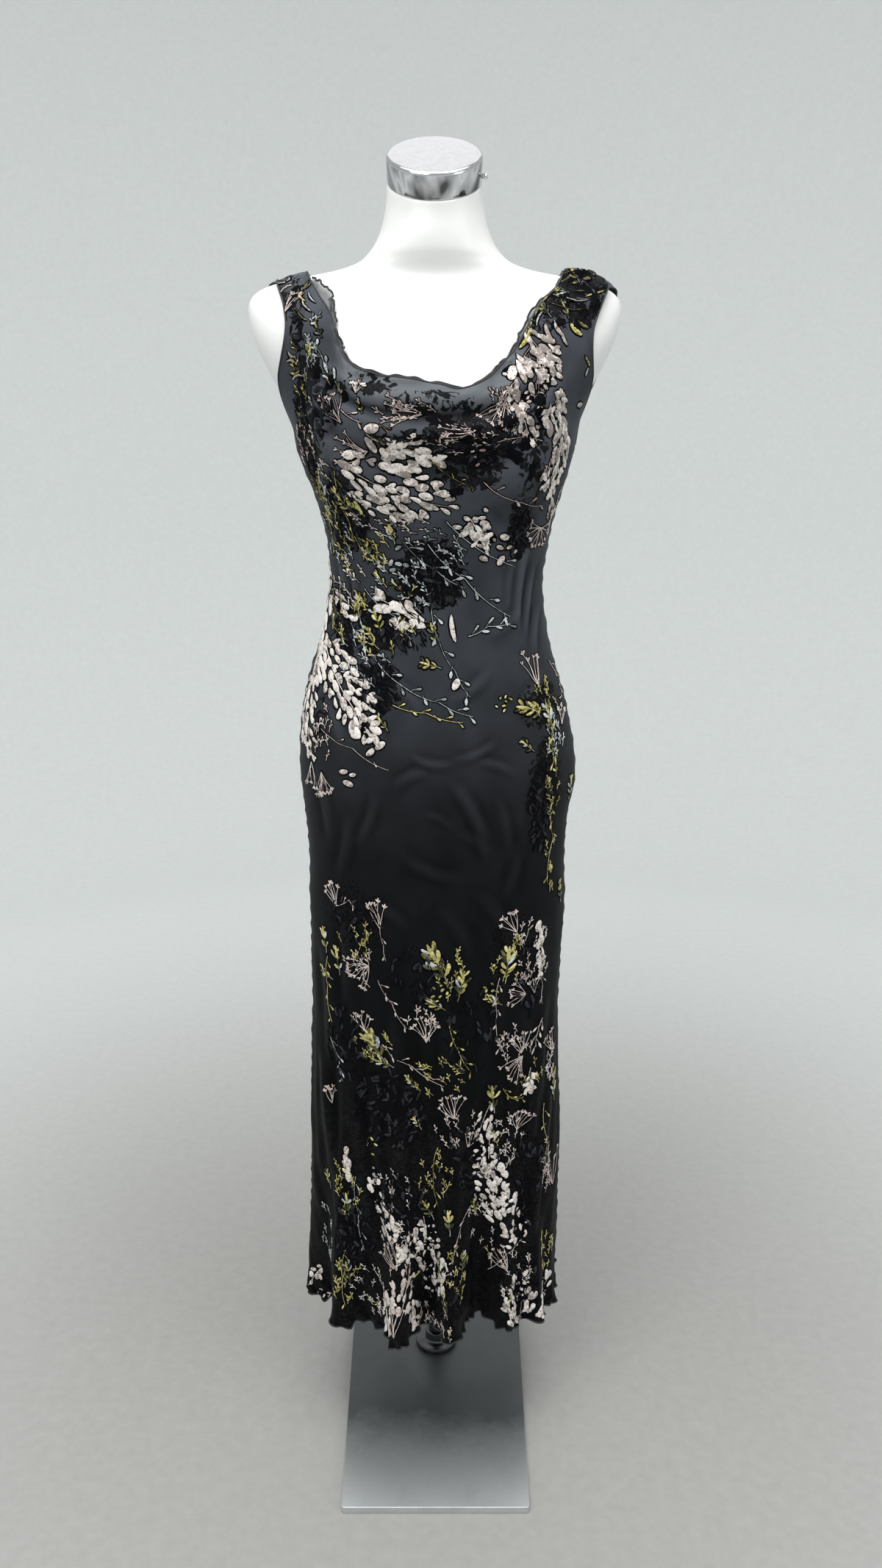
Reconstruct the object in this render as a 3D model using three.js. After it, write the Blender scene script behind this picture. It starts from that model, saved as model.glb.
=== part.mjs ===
import * as THREE from 'three';

// An evening gown on a limbless dress form. Millimetres, +Z up.
// The gown faces -Y, and -X is on the left seen from the front.
// The origin is on the underside of the base plate, below the middle of the form.

// Cloth and seams
const WALL = 1.6;
const SEAM_GAP = 0.3;
const FACING_WALL = 1.0;
const FACING_GAP = 0.4;
const CLEAR_OF_FORM = 3.4;
const CLEAR_UNDER_NECK = 6.6;
const CLEAR_AT_SHOULDER = 2.2;
const CHORD_CLEARANCE = 0.45;
const CHORD_PASSES = 3;
const GAUGE_STEP = 0.5;
const CLEAR_PASSES = 8;
const CLEAR_TOLERANCE = 0.02;

// Levels and grids of the gown
const HEM_HEIGHT = 178;
const UNDERARM_HEIGHT = 1300;
const FRONT_COLUMNS = 48;
const BACK_COLUMNS = 36;
const FRONT_UPPER_ROWS = 9;
const BACK_UPPER_ROWS = 8;
const UPPER_CROWDING = 1.5;
const NECK_DIVISIONS = 600;
const STRAP_FROM = 0.78;
const STRAP_STARTS = 0.62;
const SECTION_POWER = 2.1;
const SIDE_CROWDING = 0.2;

// Dress form
const FORM_SIDES = 32;
const FORM_BOTTOM = 772;
const NECK_TILT = 33;
const NECK_RADIUS = 51.5;

// Neck cap
const CAP = { radius: 52, height: 28, edge: 5, centreY: -8, topZ: 1595.5 };
const CAP_SCREW = { radius: 3, length: 6, angle: -12, drop: 19 };

// Stand
const PLATE = { front: -214, back: 150, frontWidth: 237, backWidth: 252, thickness: 10, corner: 4 };
const POLE = { radius: 11, y: 78, top: 771 };
const SOCKET = { radius: 19, bottom: 738, flange: 6 };
const FOOT = { radius: 30, height: 7, collar: 16, collarHeight: 22 };
const RUNNING_GAP = 0.3;
const TURNED_BEVEL = 1;
const RING_CHAMFER = 2;
const SOCKET_STEP = 4;
const ROUND_SIDES = 24;
const SCREW_SIDES = 12;
const EDGE_STEPS = 4;

const table = (columns, rows) =>
  rows.map((row) => Object.fromEntries(columns.map((name, k) => [name, row[k]])));

// Sections of the form: half width, depth before and behind the centre, and squareness
const FORM = table(['z', 'half', 'front', 'back', 'centre', 'power', 'tilt'], [
  [772, 130, 70, 102, 2, 2.0, 0],
  [778, 139, 79, 108, 2, 2.05, 0],
  [792, 148, 87, 112, 2, 2.1, 0],
  [825, 153, 92, 115, 2, 2.1, 0],
  [862, 155, 95, 117, 2, 2.1, 0],
  [905, 158, 97, 118, 2, 2.1, 0],
  [945, 157, 97, 115, 2, 2.1, 0],
  [985, 151, 94, 108, 2, 2.1, 0],
  [1030, 141, 89, 99, 2, 2.1, 0],
  [1075, 127, 83, 89, 2, 2.1, 0],
  [1110, 118, 79, 83, 1, 2.1, 0],
  [1145, 115, 77, 80, 0, 2.1, 0],
  [1185, 118, 82, 82, 0, 2.1, 0],
  [1225, 126, 96, 87, 0, 2.1, 0],
  [1255, 136, 110, 93, 0, 2.1, 0],
  [1283, 148, 119, 99, 0, 2.1, 0],
  [1312, 156, 118, 104, 0, 2.15, 0],
  [1345, 169, 107, 105, 2, 2.2, 0],
  [1375, 186, 95, 103, 4, 2.3, 0],
  [1405, 200, 83, 98, 6, 2.4, 0],
  [1430, 207, 71, 88, 9, 2.4, 0],
  [1448, 207, 59, 76, 12, 2.35, 0],
  [1460, 197, 50, 67, 14, 2.3, 0],
  [1468, 177, 45, 62, 15, 2.25, 0],
  [1474.5, 148, 43, 59, 15, 2.2, 0],
  [1480.5, 114, 43, 57, 14, 2.1, 0],
  [1489, 87, 46, 56, 13, 2.0, 1],
  [1500, 73, 49, 55, 12, 2.0, 4],
  [1514, 63.5, 50, 53, 11.5, 2.0, 9],
  [1531, 57, 48.5, 50.5, 10, 2.0, 17],
  [1551, 53, 45.5, 46.5, 8.5, 2.0, 26],
  [1571.7, NECK_RADIUS, 43.2, 43.2, 7.2, 2.0, NECK_TILT],
]);

// Sections of the gown below the underarm: reach to each side, to the front and to the back
const GOWN = table(['z', 'left', 'right', 'front', 'back'], [
  [175, 167, 164, 98, 112],
  [267, 169, 165, 98, 113],
  [332, 168, 165, 98, 114],
  [395, 167, 165, 98, 116],
  [530, 162, 161, 100, 119],
  [600, 159, 158, 101, 121],
  [672, 158, 160, 102, 122],
  [755, 158, 163, 103, 124],
  [800, 157, 161, 103, 125],
  [858, 160, 163, 103.5, 126],
  [905, 164.5, 171, 104, 126],
  [935, 165, 170, 103.5, 123],
  [970, 163, 164, 102, 118],
  [1006, 157, 155.5, 98, 111],
  [1045, 147, 143.5, 93, 103],
  [1080, 135, 134, 88.5, 95],
  [1118, 126.5, 128, 84.5, 88.5],
  [1150, 123.5, 126.5, 83, 86],
  [1193, 125.5, 133, 89, 88.5],
  [1221, 132, 139, 99, 92],
  [1255, 143.5, 149, 116, 98],
  [1283, 155, 157.5, 125, 104],
  [1300, 159.5, 161.5, 126, 108],
]);

// Heights of the grid rows between the hem and the underarm
const FRONT_HEIGHTS = [HEM_HEIGHT, 218, 268, 330, 400, 480, 570, 660, 745, 815, 870, 915, 960,
  1005, 1040, 1070, 1100, 1142, 1180, 1210, 1235, 1258, 1280, UNDERARM_HEIGHT];
const BACK_HEIGHTS = [HEM_HEIGHT, 218, 268, 330, 400, 490, 590, 690, 780, 850, 910, 965, 1015,
  1060, 1105, 1150, 1200, 1250, UNDERARM_HEIGHT];

// Hanging folds: place across the panel, depth outwards at the hem, half width, and where each dies out
const FRONT_FOLDS = table(['u', 'depth', 'spread', 'top'], [
  [-0.92, 13, 0.07, 420],
  [-0.74, -15, 0.06, 520],
  [-0.57, 27, 0.075, 640],
  [-0.20, 42, 0.08, 800],
  [-0.04, -19, 0.05, 520],
  [0.09, 31, 0.062, 700],
  [0.265, -27, 0.085, 740],
  [0.43, 21, 0.06, 560],
  [0.62, 24, 0.07, 620],
  [0.79, 10, 0.06, 480],
]);
const BACK_FOLDS = table(['u', 'depth', 'spread', 'top'], [
  [-0.78, 20, 0.08, 560],
  [-0.60, -16, 0.07, 500],
  [-0.42, 26, 0.09, 700],
  [-0.20, -18, 0.08, 620],
  [0.02, 28, 0.09, 760],
  [0.22, -20, 0.08, 640],
  [0.42, 24, 0.08, 680],
  [0.62, -14, 0.07, 520],
  [0.80, 18, 0.08, 600],
]);
const FOLD_FADE = 2.4;

// Swags of the cowl: distance below the edge at the middle, extra rise at the sides, width and depth
const SWAGS = table(['drop', 'rise', 'width', 'depth', 'reach'], [
  [13, 0, 11, 5, 0.78],
  [32, 6, 9, -4.5, 0.72],
  [57, 26, 18, 8, 0.84],
  [87, 44, 15, -4, 0.78],
  [116, 66, 22, 6, 0.88],
]);
const COWL_EDGE_HEIGHT = 1355;
const COWL_EDGE_RISE = 95;
const SWAG_FULL = 0.55;

// The neck edge of the front, from strap to strap
const FRONT_NECK = table(['x', 'y', 'z'], [
  [-142, 12, 1481],
  [-136, -20, 1470],
  [-123, -46, 1448],
  [-110, -63, 1429],
  [-103, -77, 1406],
  [-96, -89, 1387],
  [-84, -97, 1374],
  [-62, -107, 1366],
  [-30, -116, 1361],
  [0, -121, 1356],
  [22, -122, 1351],
  [40, -119, 1354],
  [56, -111, 1362],
  [70, -99, 1376],
  [84, -89, 1391],
  [95, -80, 1409],
  [104, -68, 1426],
  [116, -53, 1444],
  [130, -38, 1457],
  [138, -18, 1471],
  [142, 12, 1482],
]);
const BACK_NECK = table(['x', 'y', 'z'], [
  [-142, 12, 1481],
  [-138, 44, 1472],
  [-126, 72, 1452],
  [-104, 94, 1425],
  [-70, 106, 1405],
  [-35, 110, 1397],
  [0, 111, 1395],
  [35, 110, 1397],
  [70, 106, 1405],
  [104, 94, 1425],
  [126, 72, 1452],
  [138, 44, 1472],
  [142, 12, 1482],
]);
const STRAP_END = { left: [-173, 12, 1468.5], right: [190, 12, 1465.5], y: 12, crown: 3 };
const STRAP_PUFF = { left: 0, right: 4.5, from: 0.7, full: 0.88, until: 0.93 };

// Parts of a column over which the cloth's distance from the form changes
const NECK_CLEAR_FULL = 0.5;
const STRAP_CLEAR_FROM = 0.6;

// How each column arrives at its upper end: how far it comes from outside, from the body and from below
const FRONT_REACH = table(['u', 'side', 'out', 'down'], [
  [0, 0, 10, 24],
  [0.4, 0, 14, 32],
  [0.6, 4, 38, 42],
  [STRAP_FROM, 3, 84, 34],
  [1, -34, 117, 63],
]);
const BACK_REACH = table(['u', 'side', 'out', 'down'], [
  [0, 0, 2, 36],
  [0.4, 0, 6, 40],
  [0.6, 4, 34, 44],
  [STRAP_FROM, 3, 92, 36],
  [1, 22, 104, 62],
]);
const COLUMN_START = 0.36;

// How far the sheer facing stands above the neck edge
const FACING_RISE = table(['u', 'rise'], [
  [-0.68, 4],
  [-0.58, 13],
  [-0.50, 17],
  [-0.43, 12],
  [-0.37, 3],
  [0, 2],
  [0.28, 3],
  [0.36, 8],
  [0.44, 9],
  [0.52, 4],
  [0.68, 2],
]);
const FACING_TO = 0.66;
const FACING_ROWS = 3;

const COLOURS = {
  cloth: { color: 0x26262c, roughness: 0.62, metalness: 0 },
  sheer: { color: 0x3c4346, roughness: 0.7, metalness: 0 },
  form: { color: 0xf2f2f0, roughness: 0.38, metalness: 0 },
  chrome: { color: 0xd8dadc, roughness: 0.12, metalness: 1 },
  steel: { color: 0x8f9598, roughness: 0.35, metalness: 0.9 },
};

const clamp = (value, low, high) => Math.min(Math.max(value, low), high);
const mix = (a, b, t) => a + (b - a) * t;
const ease = (value, from, to) => {
  const t = clamp((value - from) / (to - from), 0, 1);
  return t * t * (3 - 2 * t);
};
const signedPower = (value, power) => Math.sign(value) * Math.abs(value) ** power;

// Reads a table at any value of its key column along a smooth curve through the rows
function reader(rows, key) {
  const names = Object.keys(rows[0]).filter((name) => name !== key);
  const last = rows.length - 1;
  const slope = (k, name) => {
    const before = rows[Math.max(k - 1, 0)];
    const after = rows[Math.min(k + 1, last)];
    return (after[name] - before[name]) / (after[key] - before[key]);
  };
  return (value) => {
    const at = clamp(value, rows[0][key], rows[last][key]);
    let k = last - 1;
    while (k > 0 && at < rows[k][key]) k -= 1;
    const span = rows[k + 1][key] - rows[k][key];
    const t = (at - rows[k][key]) / span;
    const t2 = t * t;
    const t3 = t2 * t;
    const result = {};
    for (const name of names) {
      result[name] = (2 * t3 - 3 * t2 + 1) * rows[k][name]
        + (t3 - 2 * t2 + t) * span * slope(k, name)
        + (3 * t2 - 2 * t3) * rows[k + 1][name]
        + (t3 - t2) * span * slope(k + 1, name);
    }
    return result;
  };
}

const formAt = reader(FORM, 'z');
const gownAt = reader(GOWN, 'z');
const frontReachAt = reader(FRONT_REACH, 'u');
const backReachAt = reader(BACK_REACH, 'u');
const facingRiseAt = reader(FACING_RISE, 'u');

// Zero on the form's skin, and larger outside it
function formGauge(point) {
  const section = formAt(point.z);
  const fromCentre = point.y - section.centre;
  const depth = fromCentre < 0 ? section.front : section.back;
  const across = (Math.abs(point.x) / section.half) ** section.power;
  const along = (Math.abs(fromCentre) / depth) ** section.power;
  return (across + along) ** (1 / section.power) - 1;
}

// Moves a point of the cloth outwards until it is at least this far from the form
function keepClear(point, clearance) {
  if (point.z < FORM_BOTTOM) return;
  for (let pass = 0; pass < CLEAR_PASSES; pass += 1) {
    const gauge = formGauge(point);
    const gradient = new THREE.Vector3(
      formGauge(point.clone().add(new THREE.Vector3(GAUGE_STEP, 0, 0))) - gauge,
      formGauge(point.clone().add(new THREE.Vector3(0, GAUGE_STEP, 0))) - gauge,
      formGauge(point.clone().add(new THREE.Vector3(0, 0, GAUGE_STEP))) - gauge,
    ).divideScalar(GAUGE_STEP);
    const distance = gauge / gradient.length();
    if (distance > clearance - CLEAR_TOLERANCE) return;
    point.addScaledVector(gradient.normalize(), clearance - distance);
  }
}

// Lifts the two ends of each straight edge of a grid whose middle comes too near the form
function liftChords(rows) {
  const lift = (a, b) => {
    const middle = a.clone().lerp(b, 0.5);
    const before = middle.clone();
    keepClear(middle, WALL + CHORD_CLEARANCE);
    middle.sub(before);
    a.add(middle);
    b.add(middle);
  };
  for (let i = 0; i < rows.length; i += 1) {
    for (let j = 0; j < rows[i].length; j += 1) {
      if (j + 1 < rows[i].length) lift(rows[i][j], rows[i][j + 1]);
      if (i + 1 < rows.length) lift(rows[i][j], rows[i + 1][j]);
      if (i + 1 < rows.length && j + 1 < rows[i].length) lift(rows[i][j], rows[i + 1][j + 1]);
    }
  }
}

const FRONT = {
  side: -1,
  columns: FRONT_COLUMNS,
  heights: FRONT_HEIGHTS,
  upperRows: FRONT_UPPER_ROWS,
  folds: FRONT_FOLDS,
  neck: FRONT_NECK,
  reachAt: frontReachAt,
  looseArmhole: { left: 0, right: 0 },
};
const BACK = {
  side: 1,
  columns: BACK_COLUMNS,
  heights: BACK_HEIGHTS,
  upperRows: BACK_UPPER_ROWS,
  folds: BACK_FOLDS,
  neck: BACK_NECK,
  reachAt: backReachAt,
  looseArmhole: { left: 0, right: 22 },
};

// A point of the panel below the underarm, at u from -1 at the left seam to 1 at the right one
function hangingPoint(panel, u, z) {
  const section = gownAt(z);
  const angle = (Math.PI / 2) * mix(u, u ** 3, SIDE_CROWDING);
  const half = u < 0 ? section.left : section.right;
  const depth = panel.side < 0 ? section.front : section.back;
  const power = 2 / SECTION_POWER;
  const point = new THREE.Vector3(
    half * signedPower(Math.sin(angle), power),
    panel.side * depth * Math.max(Math.cos(angle), 0) ** power,
    z,
  );
  const outwards = new THREE.Vector3(
    Math.sin(angle) / half,
    (panel.side * Math.max(Math.cos(angle), 0)) / depth,
    0,
  ).normalize();
  for (const fold of panel.folds) {
    if (z >= fold.top) continue;
    const fade = ((fold.top - z) / (fold.top - HEM_HEIGHT)) ** FOLD_FADE;
    const across = (u - fold.u) / fold.spread;
    point.addScaledVector(outwards, fold.depth * Math.min(fade, 1) * Math.exp(-across * across));
  }
  return point;
}

// Soft rolls of the draped cowl, in the direction that the front faces
function swagDepth(u, z) {
  let depth = 0;
  for (const swag of SWAGS) {
    const middle = COWL_EDGE_HEIGHT - swag.drop + (COWL_EDGE_RISE + swag.rise) * u * u;
    const fade = 1 - ease(Math.abs(u), swag.reach * SWAG_FULL, swag.reach);
    const across = (z - middle) / swag.width;
    depth += swag.depth * fade * Math.exp(-across * across);
  }
  return depth;
}

// The upper end of each column: the shoulder seam on the straps, and the neck edge between them
function upperEdge(panel) {
  const neck = new THREE.CatmullRomCurve3(
    panel.neck.map(({ x, y, z }) => new THREE.Vector3(x, y, z)),
    false,
    'centripetal',
  );
  neck.arcLengthDivisions = NECK_DIVISIONS;
  const corner = {
    left: new THREE.Vector3(...Object.values(panel.neck[0])),
    right: new THREE.Vector3(...Object.values(panel.neck[panel.neck.length - 1])),
  };
  return (u) => {
    if (Math.abs(u) <= STRAP_FROM) return neck.getPointAt((u + STRAP_FROM) / (2 * STRAP_FROM));
    const name = u < 0 ? 'left' : 'right';
    const t = (Math.abs(u) - STRAP_FROM) / (1 - STRAP_FROM);
    const point = corner[name].clone().lerp(new THREE.Vector3(...STRAP_END[name]), t);
    point.z += (STRAP_END.crown + STRAP_PUFF[name]) * Math.sin(Math.PI * t);
    return point;
  };
}

// How far the outside of the cloth stays from the form
function clearanceAt(u, v) {
  const strap = ease(Math.abs(u), STRAP_STARTS, STRAP_FROM);
  const neckSide = mix(CLEAR_OF_FORM, CLEAR_UNDER_NECK, ease(v, 0, NECK_CLEAR_FULL));
  const strapSide = mix(CLEAR_OF_FORM, CLEAR_AT_SHOULDER, ease(v, STRAP_CLEAR_FROM, 1));
  const { from, full, until } = STRAP_PUFF;
  const puffed = ease(v, from, full) * (1 - ease(v, until, 1));
  const puff = (u < 0 ? STRAP_PUFF.left : STRAP_PUFF.right) * puffed;
  return mix(neckSide, strapSide + puff, strap);
}

// Outer points of a panel, row by row from the hem to the neck edge
function panelRows(panel) {
  const edge = upperEdge(panel);
  const us = Array.from({ length: panel.columns + 1 }, (_, k) => (2 * k) / panel.columns - 1);
  const seamY = (panel.side * SEAM_GAP) / 2;
  const rows = panel.heights.map((height) => us.map((u) => {
    const point = hangingPoint(panel, u, height);
    if (panel.side < 0) point.y -= swagDepth(u, height);
    keepClear(point, CLEAR_OF_FORM);
    if (Math.abs(u) === 1) point.y = seamY;
    return point;
  }));
  const columns = us.map((u) => {
    const start = rows[rows.length - 1][us.indexOf(u)];
    const end = edge(u);
    const reach = panel.reachAt(Math.abs(u));
    const length = start.distanceTo(end);
    const rise = new THREE.Vector3(0, 0, length * COLUMN_START);
    const loose = panel.looseArmhole[u < 0 ? 'left' : 'right'] * ease(Math.abs(u), STRAP_FROM, 1);
    const outwards = Math.sign(u) * (reach.side + loose);
    const approach = new THREE.Vector3(outwards, panel.side * reach.out, -reach.down);
    return new THREE.CubicBezierCurve3(start, start.clone().add(rise), end.clone().add(approach), end);
  });
  for (let k = 1; k <= panel.upperRows; k += 1) {
    const v = 1 - (1 - k / panel.upperRows) ** UPPER_CROWDING;
    rows.push(us.map((u, j) => {
      const point = columns[j].getPoint(v);
      if (panel.side < 0) point.y -= swagDepth(u, point.z);
      keepClear(point, clearanceAt(u, v));
      return point;
    }));
  }
  const holdSeams = () => {
    for (const row of rows.slice(0, panel.heights.length)) {
      row[0].y = seamY;
      row[panel.columns].y = seamY;
    }
    us.forEach((u, j) => {
      if (Math.abs(u) >= STRAP_FROM) rows[rows.length - 1][j].y = STRAP_END.y + seamY;
    });
  };
  holdSeams();
  for (let pass = 0; pass < CHORD_PASSES; pass += 1) {
    liftChords(rows);
    holdSeams();
  }
  return rows;
}

// Outward normals of a grid, level across the side seams and the shoulder seams
function gridNormals(rows, side, seamRows, onShoulder) {
  const lastRow = rows.length - 1;
  const lastColumn = rows[0].length - 1;
  return rows.map((row, i) => row.map((point, j) => {
    const across = row[Math.min(j + 1, lastColumn)].clone().sub(row[Math.max(j - 1, 0)]);
    const up = rows[Math.min(i + 1, lastRow)][j].clone().sub(rows[Math.max(i - 1, 0)][j]);
    const normal = across.cross(up).multiplyScalar(-side);
    const onSideSeam = (j === 0 || j === lastColumn) && i < seamRows;
    if (onSideSeam || (i === lastRow && onShoulder(j))) normal.y = 0;
    return normal.normalize();
  }));
}

const offsetRows = (rows, normals, distance) =>
  rows.map((row, i) => row.map((point, j) => point.clone().addScaledVector(normals[i][j], distance)));

// A closed wall between an outer and an inner grid of the same size
function wallGeometry(outer, inner, side) {
  const rowCount = outer.length;
  const columnCount = outer[0].length;
  const points = [...outer.flat(), ...inner.flat()];
  const innerStart = rowCount * columnCount;
  const at = (i, j) => i * columnCount + j;
  const triangles = [];
  const quad = (a, b, c, d) => {
    if (side < 0) triangles.push(a, b, c, a, c, d);
    else triangles.push(a, c, b, a, d, c);
  };
  for (let i = 0; i < rowCount - 1; i += 1) {
    for (let j = 0; j < columnCount - 1; j += 1) {
      const corners = [at(i, j), at(i, j + 1), at(i + 1, j + 1), at(i + 1, j)];
      const [a, b, c, d] = corners.map((corner) => corner + innerStart);
      quad(...corners);
      quad(a, d, c, b);
    }
  }
  const rim = (a, b) => quad(b, a, a + innerStart, b + innerStart);
  for (let j = 0; j < columnCount - 1; j += 1) {
    rim(at(0, j), at(0, j + 1));
    rim(at(rowCount - 1, j + 1), at(rowCount - 1, j));
  }
  for (let i = 0; i < rowCount - 1; i += 1) {
    rim(at(i + 1, 0), at(i, 0));
    rim(at(i, columnCount - 1), at(i + 1, columnCount - 1));
  }
  const geometry = new THREE.BufferGeometry();
  geometry.setAttribute('position', new THREE.Float32BufferAttribute(points.flatMap((p) => p.toArray()), 3));
  geometry.setIndex(triangles);
  geometry.computeVertexNormals();
  return geometry;
}

function panelParts(panel) {
  const rows = panelRows(panel);
  const us = rows[0].map((_, k) => (2 * k) / panel.columns - 1);
  const onShoulder = (j) => Math.abs(us[j]) >= STRAP_FROM;
  const normals = gridNormals(rows, panel.side, panel.heights.length, onShoulder);
  return { rows, normals, us, geometry: wallGeometry(rows, offsetRows(rows, normals, -WALL), panel.side) };
}

// The sheer band inside the neck edge of the front, standing above it where it shows
function facingGeometry(front) {
  const kept = front.us.map((u, j) => j).filter((j) => Math.abs(front.us[j]) <= FACING_TO);
  const first = front.rows.length - 1 - FACING_ROWS;
  const pick = (grid) => grid.slice(first).map((row) => kept.map((j) => row[j].clone()));
  const rows = pick(front.rows);
  const normals = pick(front.normals);
  const top = rows.length - 1;
  rows.push(rows[top].map((point, k) => {
    const upwards = point.clone().sub(rows[top - 1][k]).normalize();
    return point.clone().addScaledVector(upwards, facingRiseAt(front.us[kept[k]]).rise);
  }));
  normals.push(normals[top]);
  const outer = offsetRows(rows, normals, -(WALL + FACING_GAP));
  const inner = offsetRows(rows, normals, -(WALL + FACING_GAP + FACING_WALL));
  return wallGeometry(outer, inner, -1);
}

// The bust, its neck and its rounded shoulder ends as one skin through the sections
function formGeometry() {
  const points = [];
  for (const { z, half, front, back, centre, power, tilt } of FORM) {
    for (let k = 0; k < FORM_SIDES; k += 1) {
      const angle = (2 * Math.PI * k) / FORM_SIDES;
      const depth = Math.sin(angle) < 0 ? front : back;
      const fromCentre = depth * signedPower(Math.sin(angle), 2 / power);
      const lift = fromCentre * Math.tan(THREE.MathUtils.degToRad(tilt));
      points.push(half * signedPower(Math.cos(angle), 2 / power), centre + fromCentre, z + lift);
    }
  }
  const bottom = FORM.length * FORM_SIDES;
  const lowest = FORM[0];
  const highest = FORM[FORM.length - 1];
  points.push(0, lowest.centre, lowest.z);
  points.push(0, highest.centre, highest.z);
  const triangles = [];
  for (let k = 0; k < FORM_SIDES; k += 1) {
    const next = (k + 1) % FORM_SIDES;
    for (let ring = 0; ring < FORM.length - 1; ring += 1) {
      const low = ring * FORM_SIDES;
      const high = low + FORM_SIDES;
      triangles.push(low + k, low + next, high + next, low + k, high + next, high + k);
    }
    const topRing = (FORM.length - 1) * FORM_SIDES;
    triangles.push(bottom, next, k);
    triangles.push(bottom + 1, topRing + k, topRing + next);
  }
  const geometry = new THREE.BufferGeometry();
  geometry.setAttribute('position', new THREE.Float32BufferAttribute(points, 3));
  geometry.setIndex(triangles);
  geometry.computeVertexNormals();
  return geometry;
}

// A solid of revolution about the Z axis from radius and height pairs
function turned(profile, sides = ROUND_SIDES) {
  const geometry = new THREE.LatheGeometry(profile.map(([r, z]) => new THREE.Vector2(r, z)), sides);
  return geometry.rotateX(Math.PI / 2);
}

function capGeometry() {
  const { radius, height, edge } = CAP;
  const profile = [[0, -height], [radius - TURNED_BEVEL, -height], [radius, TURNED_BEVEL - height]];
  for (let k = 0; k <= EDGE_STEPS; k += 1) {
    const angle = (Math.PI / 2) * (k / EDGE_STEPS);
    profile.push([radius - edge + edge * Math.cos(angle), edge * Math.sin(angle) - edge]);
  }
  profile.push([0, 0]);
  return turned(profile);
}

function screwGeometry() {
  const { radius, length } = CAP_SCREW;
  const shoulder = [radius - TURNED_BEVEL, length];
  const profile = [[0, 0], [radius, 0], [radius, length - TURNED_BEVEL], shoulder, [0, length]];
  return turned(profile, SCREW_SIDES);
}

function ringGeometry(inner, outer, bottom, top, flange, flangeRadius) {
  return turned([
    [inner, bottom],
    [flangeRadius, bottom],
    [flangeRadius, bottom + flange],
    [outer, bottom + flange + RING_CHAMFER],
    [outer, top],
    [inner, top],
    [inner, bottom],
  ]);
}

function plateGeometry() {
  const { front, back, frontWidth, backWidth, thickness, corner } = PLATE;
  const bevel = 1;
  const outline = new THREE.Shape();
  const f = frontWidth / 2 - bevel;
  const b = backWidth / 2 - bevel;
  const y0 = front + bevel;
  const y1 = back - bevel;
  outline.moveTo(-f + corner, y0);
  outline.lineTo(f - corner, y0);
  outline.quadraticCurveTo(f, y0, f, y0 + corner);
  outline.lineTo(b, y1 - corner);
  outline.quadraticCurveTo(b, y1, b - corner, y1);
  outline.lineTo(-b + corner, y1);
  outline.quadraticCurveTo(-b, y1, -b, y1 - corner);
  outline.lineTo(-f, y0 + corner);
  outline.quadraticCurveTo(-f, y0, -f + corner, y0);
  const geometry = new THREE.ExtrudeGeometry(outline, {
    depth: thickness - 2 * bevel,
    bevelEnabled: true,
    bevelSize: bevel,
    bevelThickness: bevel,
    bevelSegments: 1,
    curveSegments: 4,
  });
  return geometry.translate(0, 0, bevel);
}

function named(name, geometry, look) {
  const mesh = new THREE.Mesh(geometry, new THREE.MeshStandardMaterial(look));
  mesh.name = name;
  return mesh;
}

function makeStand() {
  const stand = new THREE.Group();
  const bore = POLE.radius + RUNNING_GAP;
  const bottom = PLATE.thickness + RUNNING_GAP;
  const pole = turned([[0, bottom], [POLE.radius, bottom], [POLE.radius, POLE.top], [0, POLE.top]]);
  const footTop = bottom + FOOT.collarHeight;
  const foot = ringGeometry(bore, FOOT.collar, bottom, footTop, FOOT.height, FOOT.radius);
  const socketTop = FORM_BOTTOM - RUNNING_GAP;
  const socket = turned([
    [bore, SOCKET.bottom],
    [SOCKET.radius - SOCKET_STEP, SOCKET.bottom],
    [SOCKET.radius - SOCKET_STEP, socketTop - SOCKET.flange],
    [SOCKET.radius, socketTop - SOCKET.flange],
    [SOCKET.radius, socketTop],
    [bore, socketTop],
    [bore, SOCKET.bottom],
  ]);
  const upright = new THREE.Group();
  upright.add(named('pole', pole, COLOURS.chrome));
  upright.add(named('pole_foot', foot, COLOURS.chrome));
  upright.add(named('pole_socket', socket, COLOURS.chrome));
  upright.position.y = POLE.y;
  stand.add(named('base_plate', plateGeometry(), COLOURS.steel));
  stand.add(upright);
  return stand;
}

function makeForm() {
  const form = new THREE.Group();
  form.add(named('form_torso', formGeometry(), COLOURS.form));
  const neck = new THREE.Group();
  neck.position.set(0, CAP.centreY, CAP.topZ);
  neck.rotation.x = THREE.MathUtils.degToRad(NECK_TILT);
  neck.add(named('neck_cap', capGeometry(), COLOURS.chrome));
  const screw = named('cap_screw', screwGeometry(), COLOURS.chrome);
  const turn = THREE.MathUtils.degToRad(CAP_SCREW.angle);
  const fromAxis = CAP.radius + RUNNING_GAP;
  screw.position.set(fromAxis * Math.cos(turn), fromAxis * Math.sin(turn), -CAP_SCREW.drop);
  screw.rotation.set(0, Math.PI / 2, turn, 'ZYX');
  neck.add(screw);
  form.add(neck);
  return form;
}

function makeGown() {
  const gown = new THREE.Group();
  const front = panelParts(FRONT);
  const back = panelParts(BACK);
  gown.add(named('gown_front', front.geometry, COLOURS.cloth));
  gown.add(named('gown_back', back.geometry, COLOURS.cloth));
  gown.add(named('cowl_facing', facingGeometry(front), COLOURS.sheer));
  return gown;
}

const part = new THREE.Group();
part.add(makeStand(), makeForm(), makeGown());

export default part;
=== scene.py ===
"""An evening gown of burnt-out velvet on a limbless dress form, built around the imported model.

Metres, +Z up, the front towards -Y. The side of a panel is -1 for the front and 1 for the back. Across a
panel u runs from -1 to 1 between the side seams, and s is the distance from its middle line in metres.
"""

import math

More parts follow.
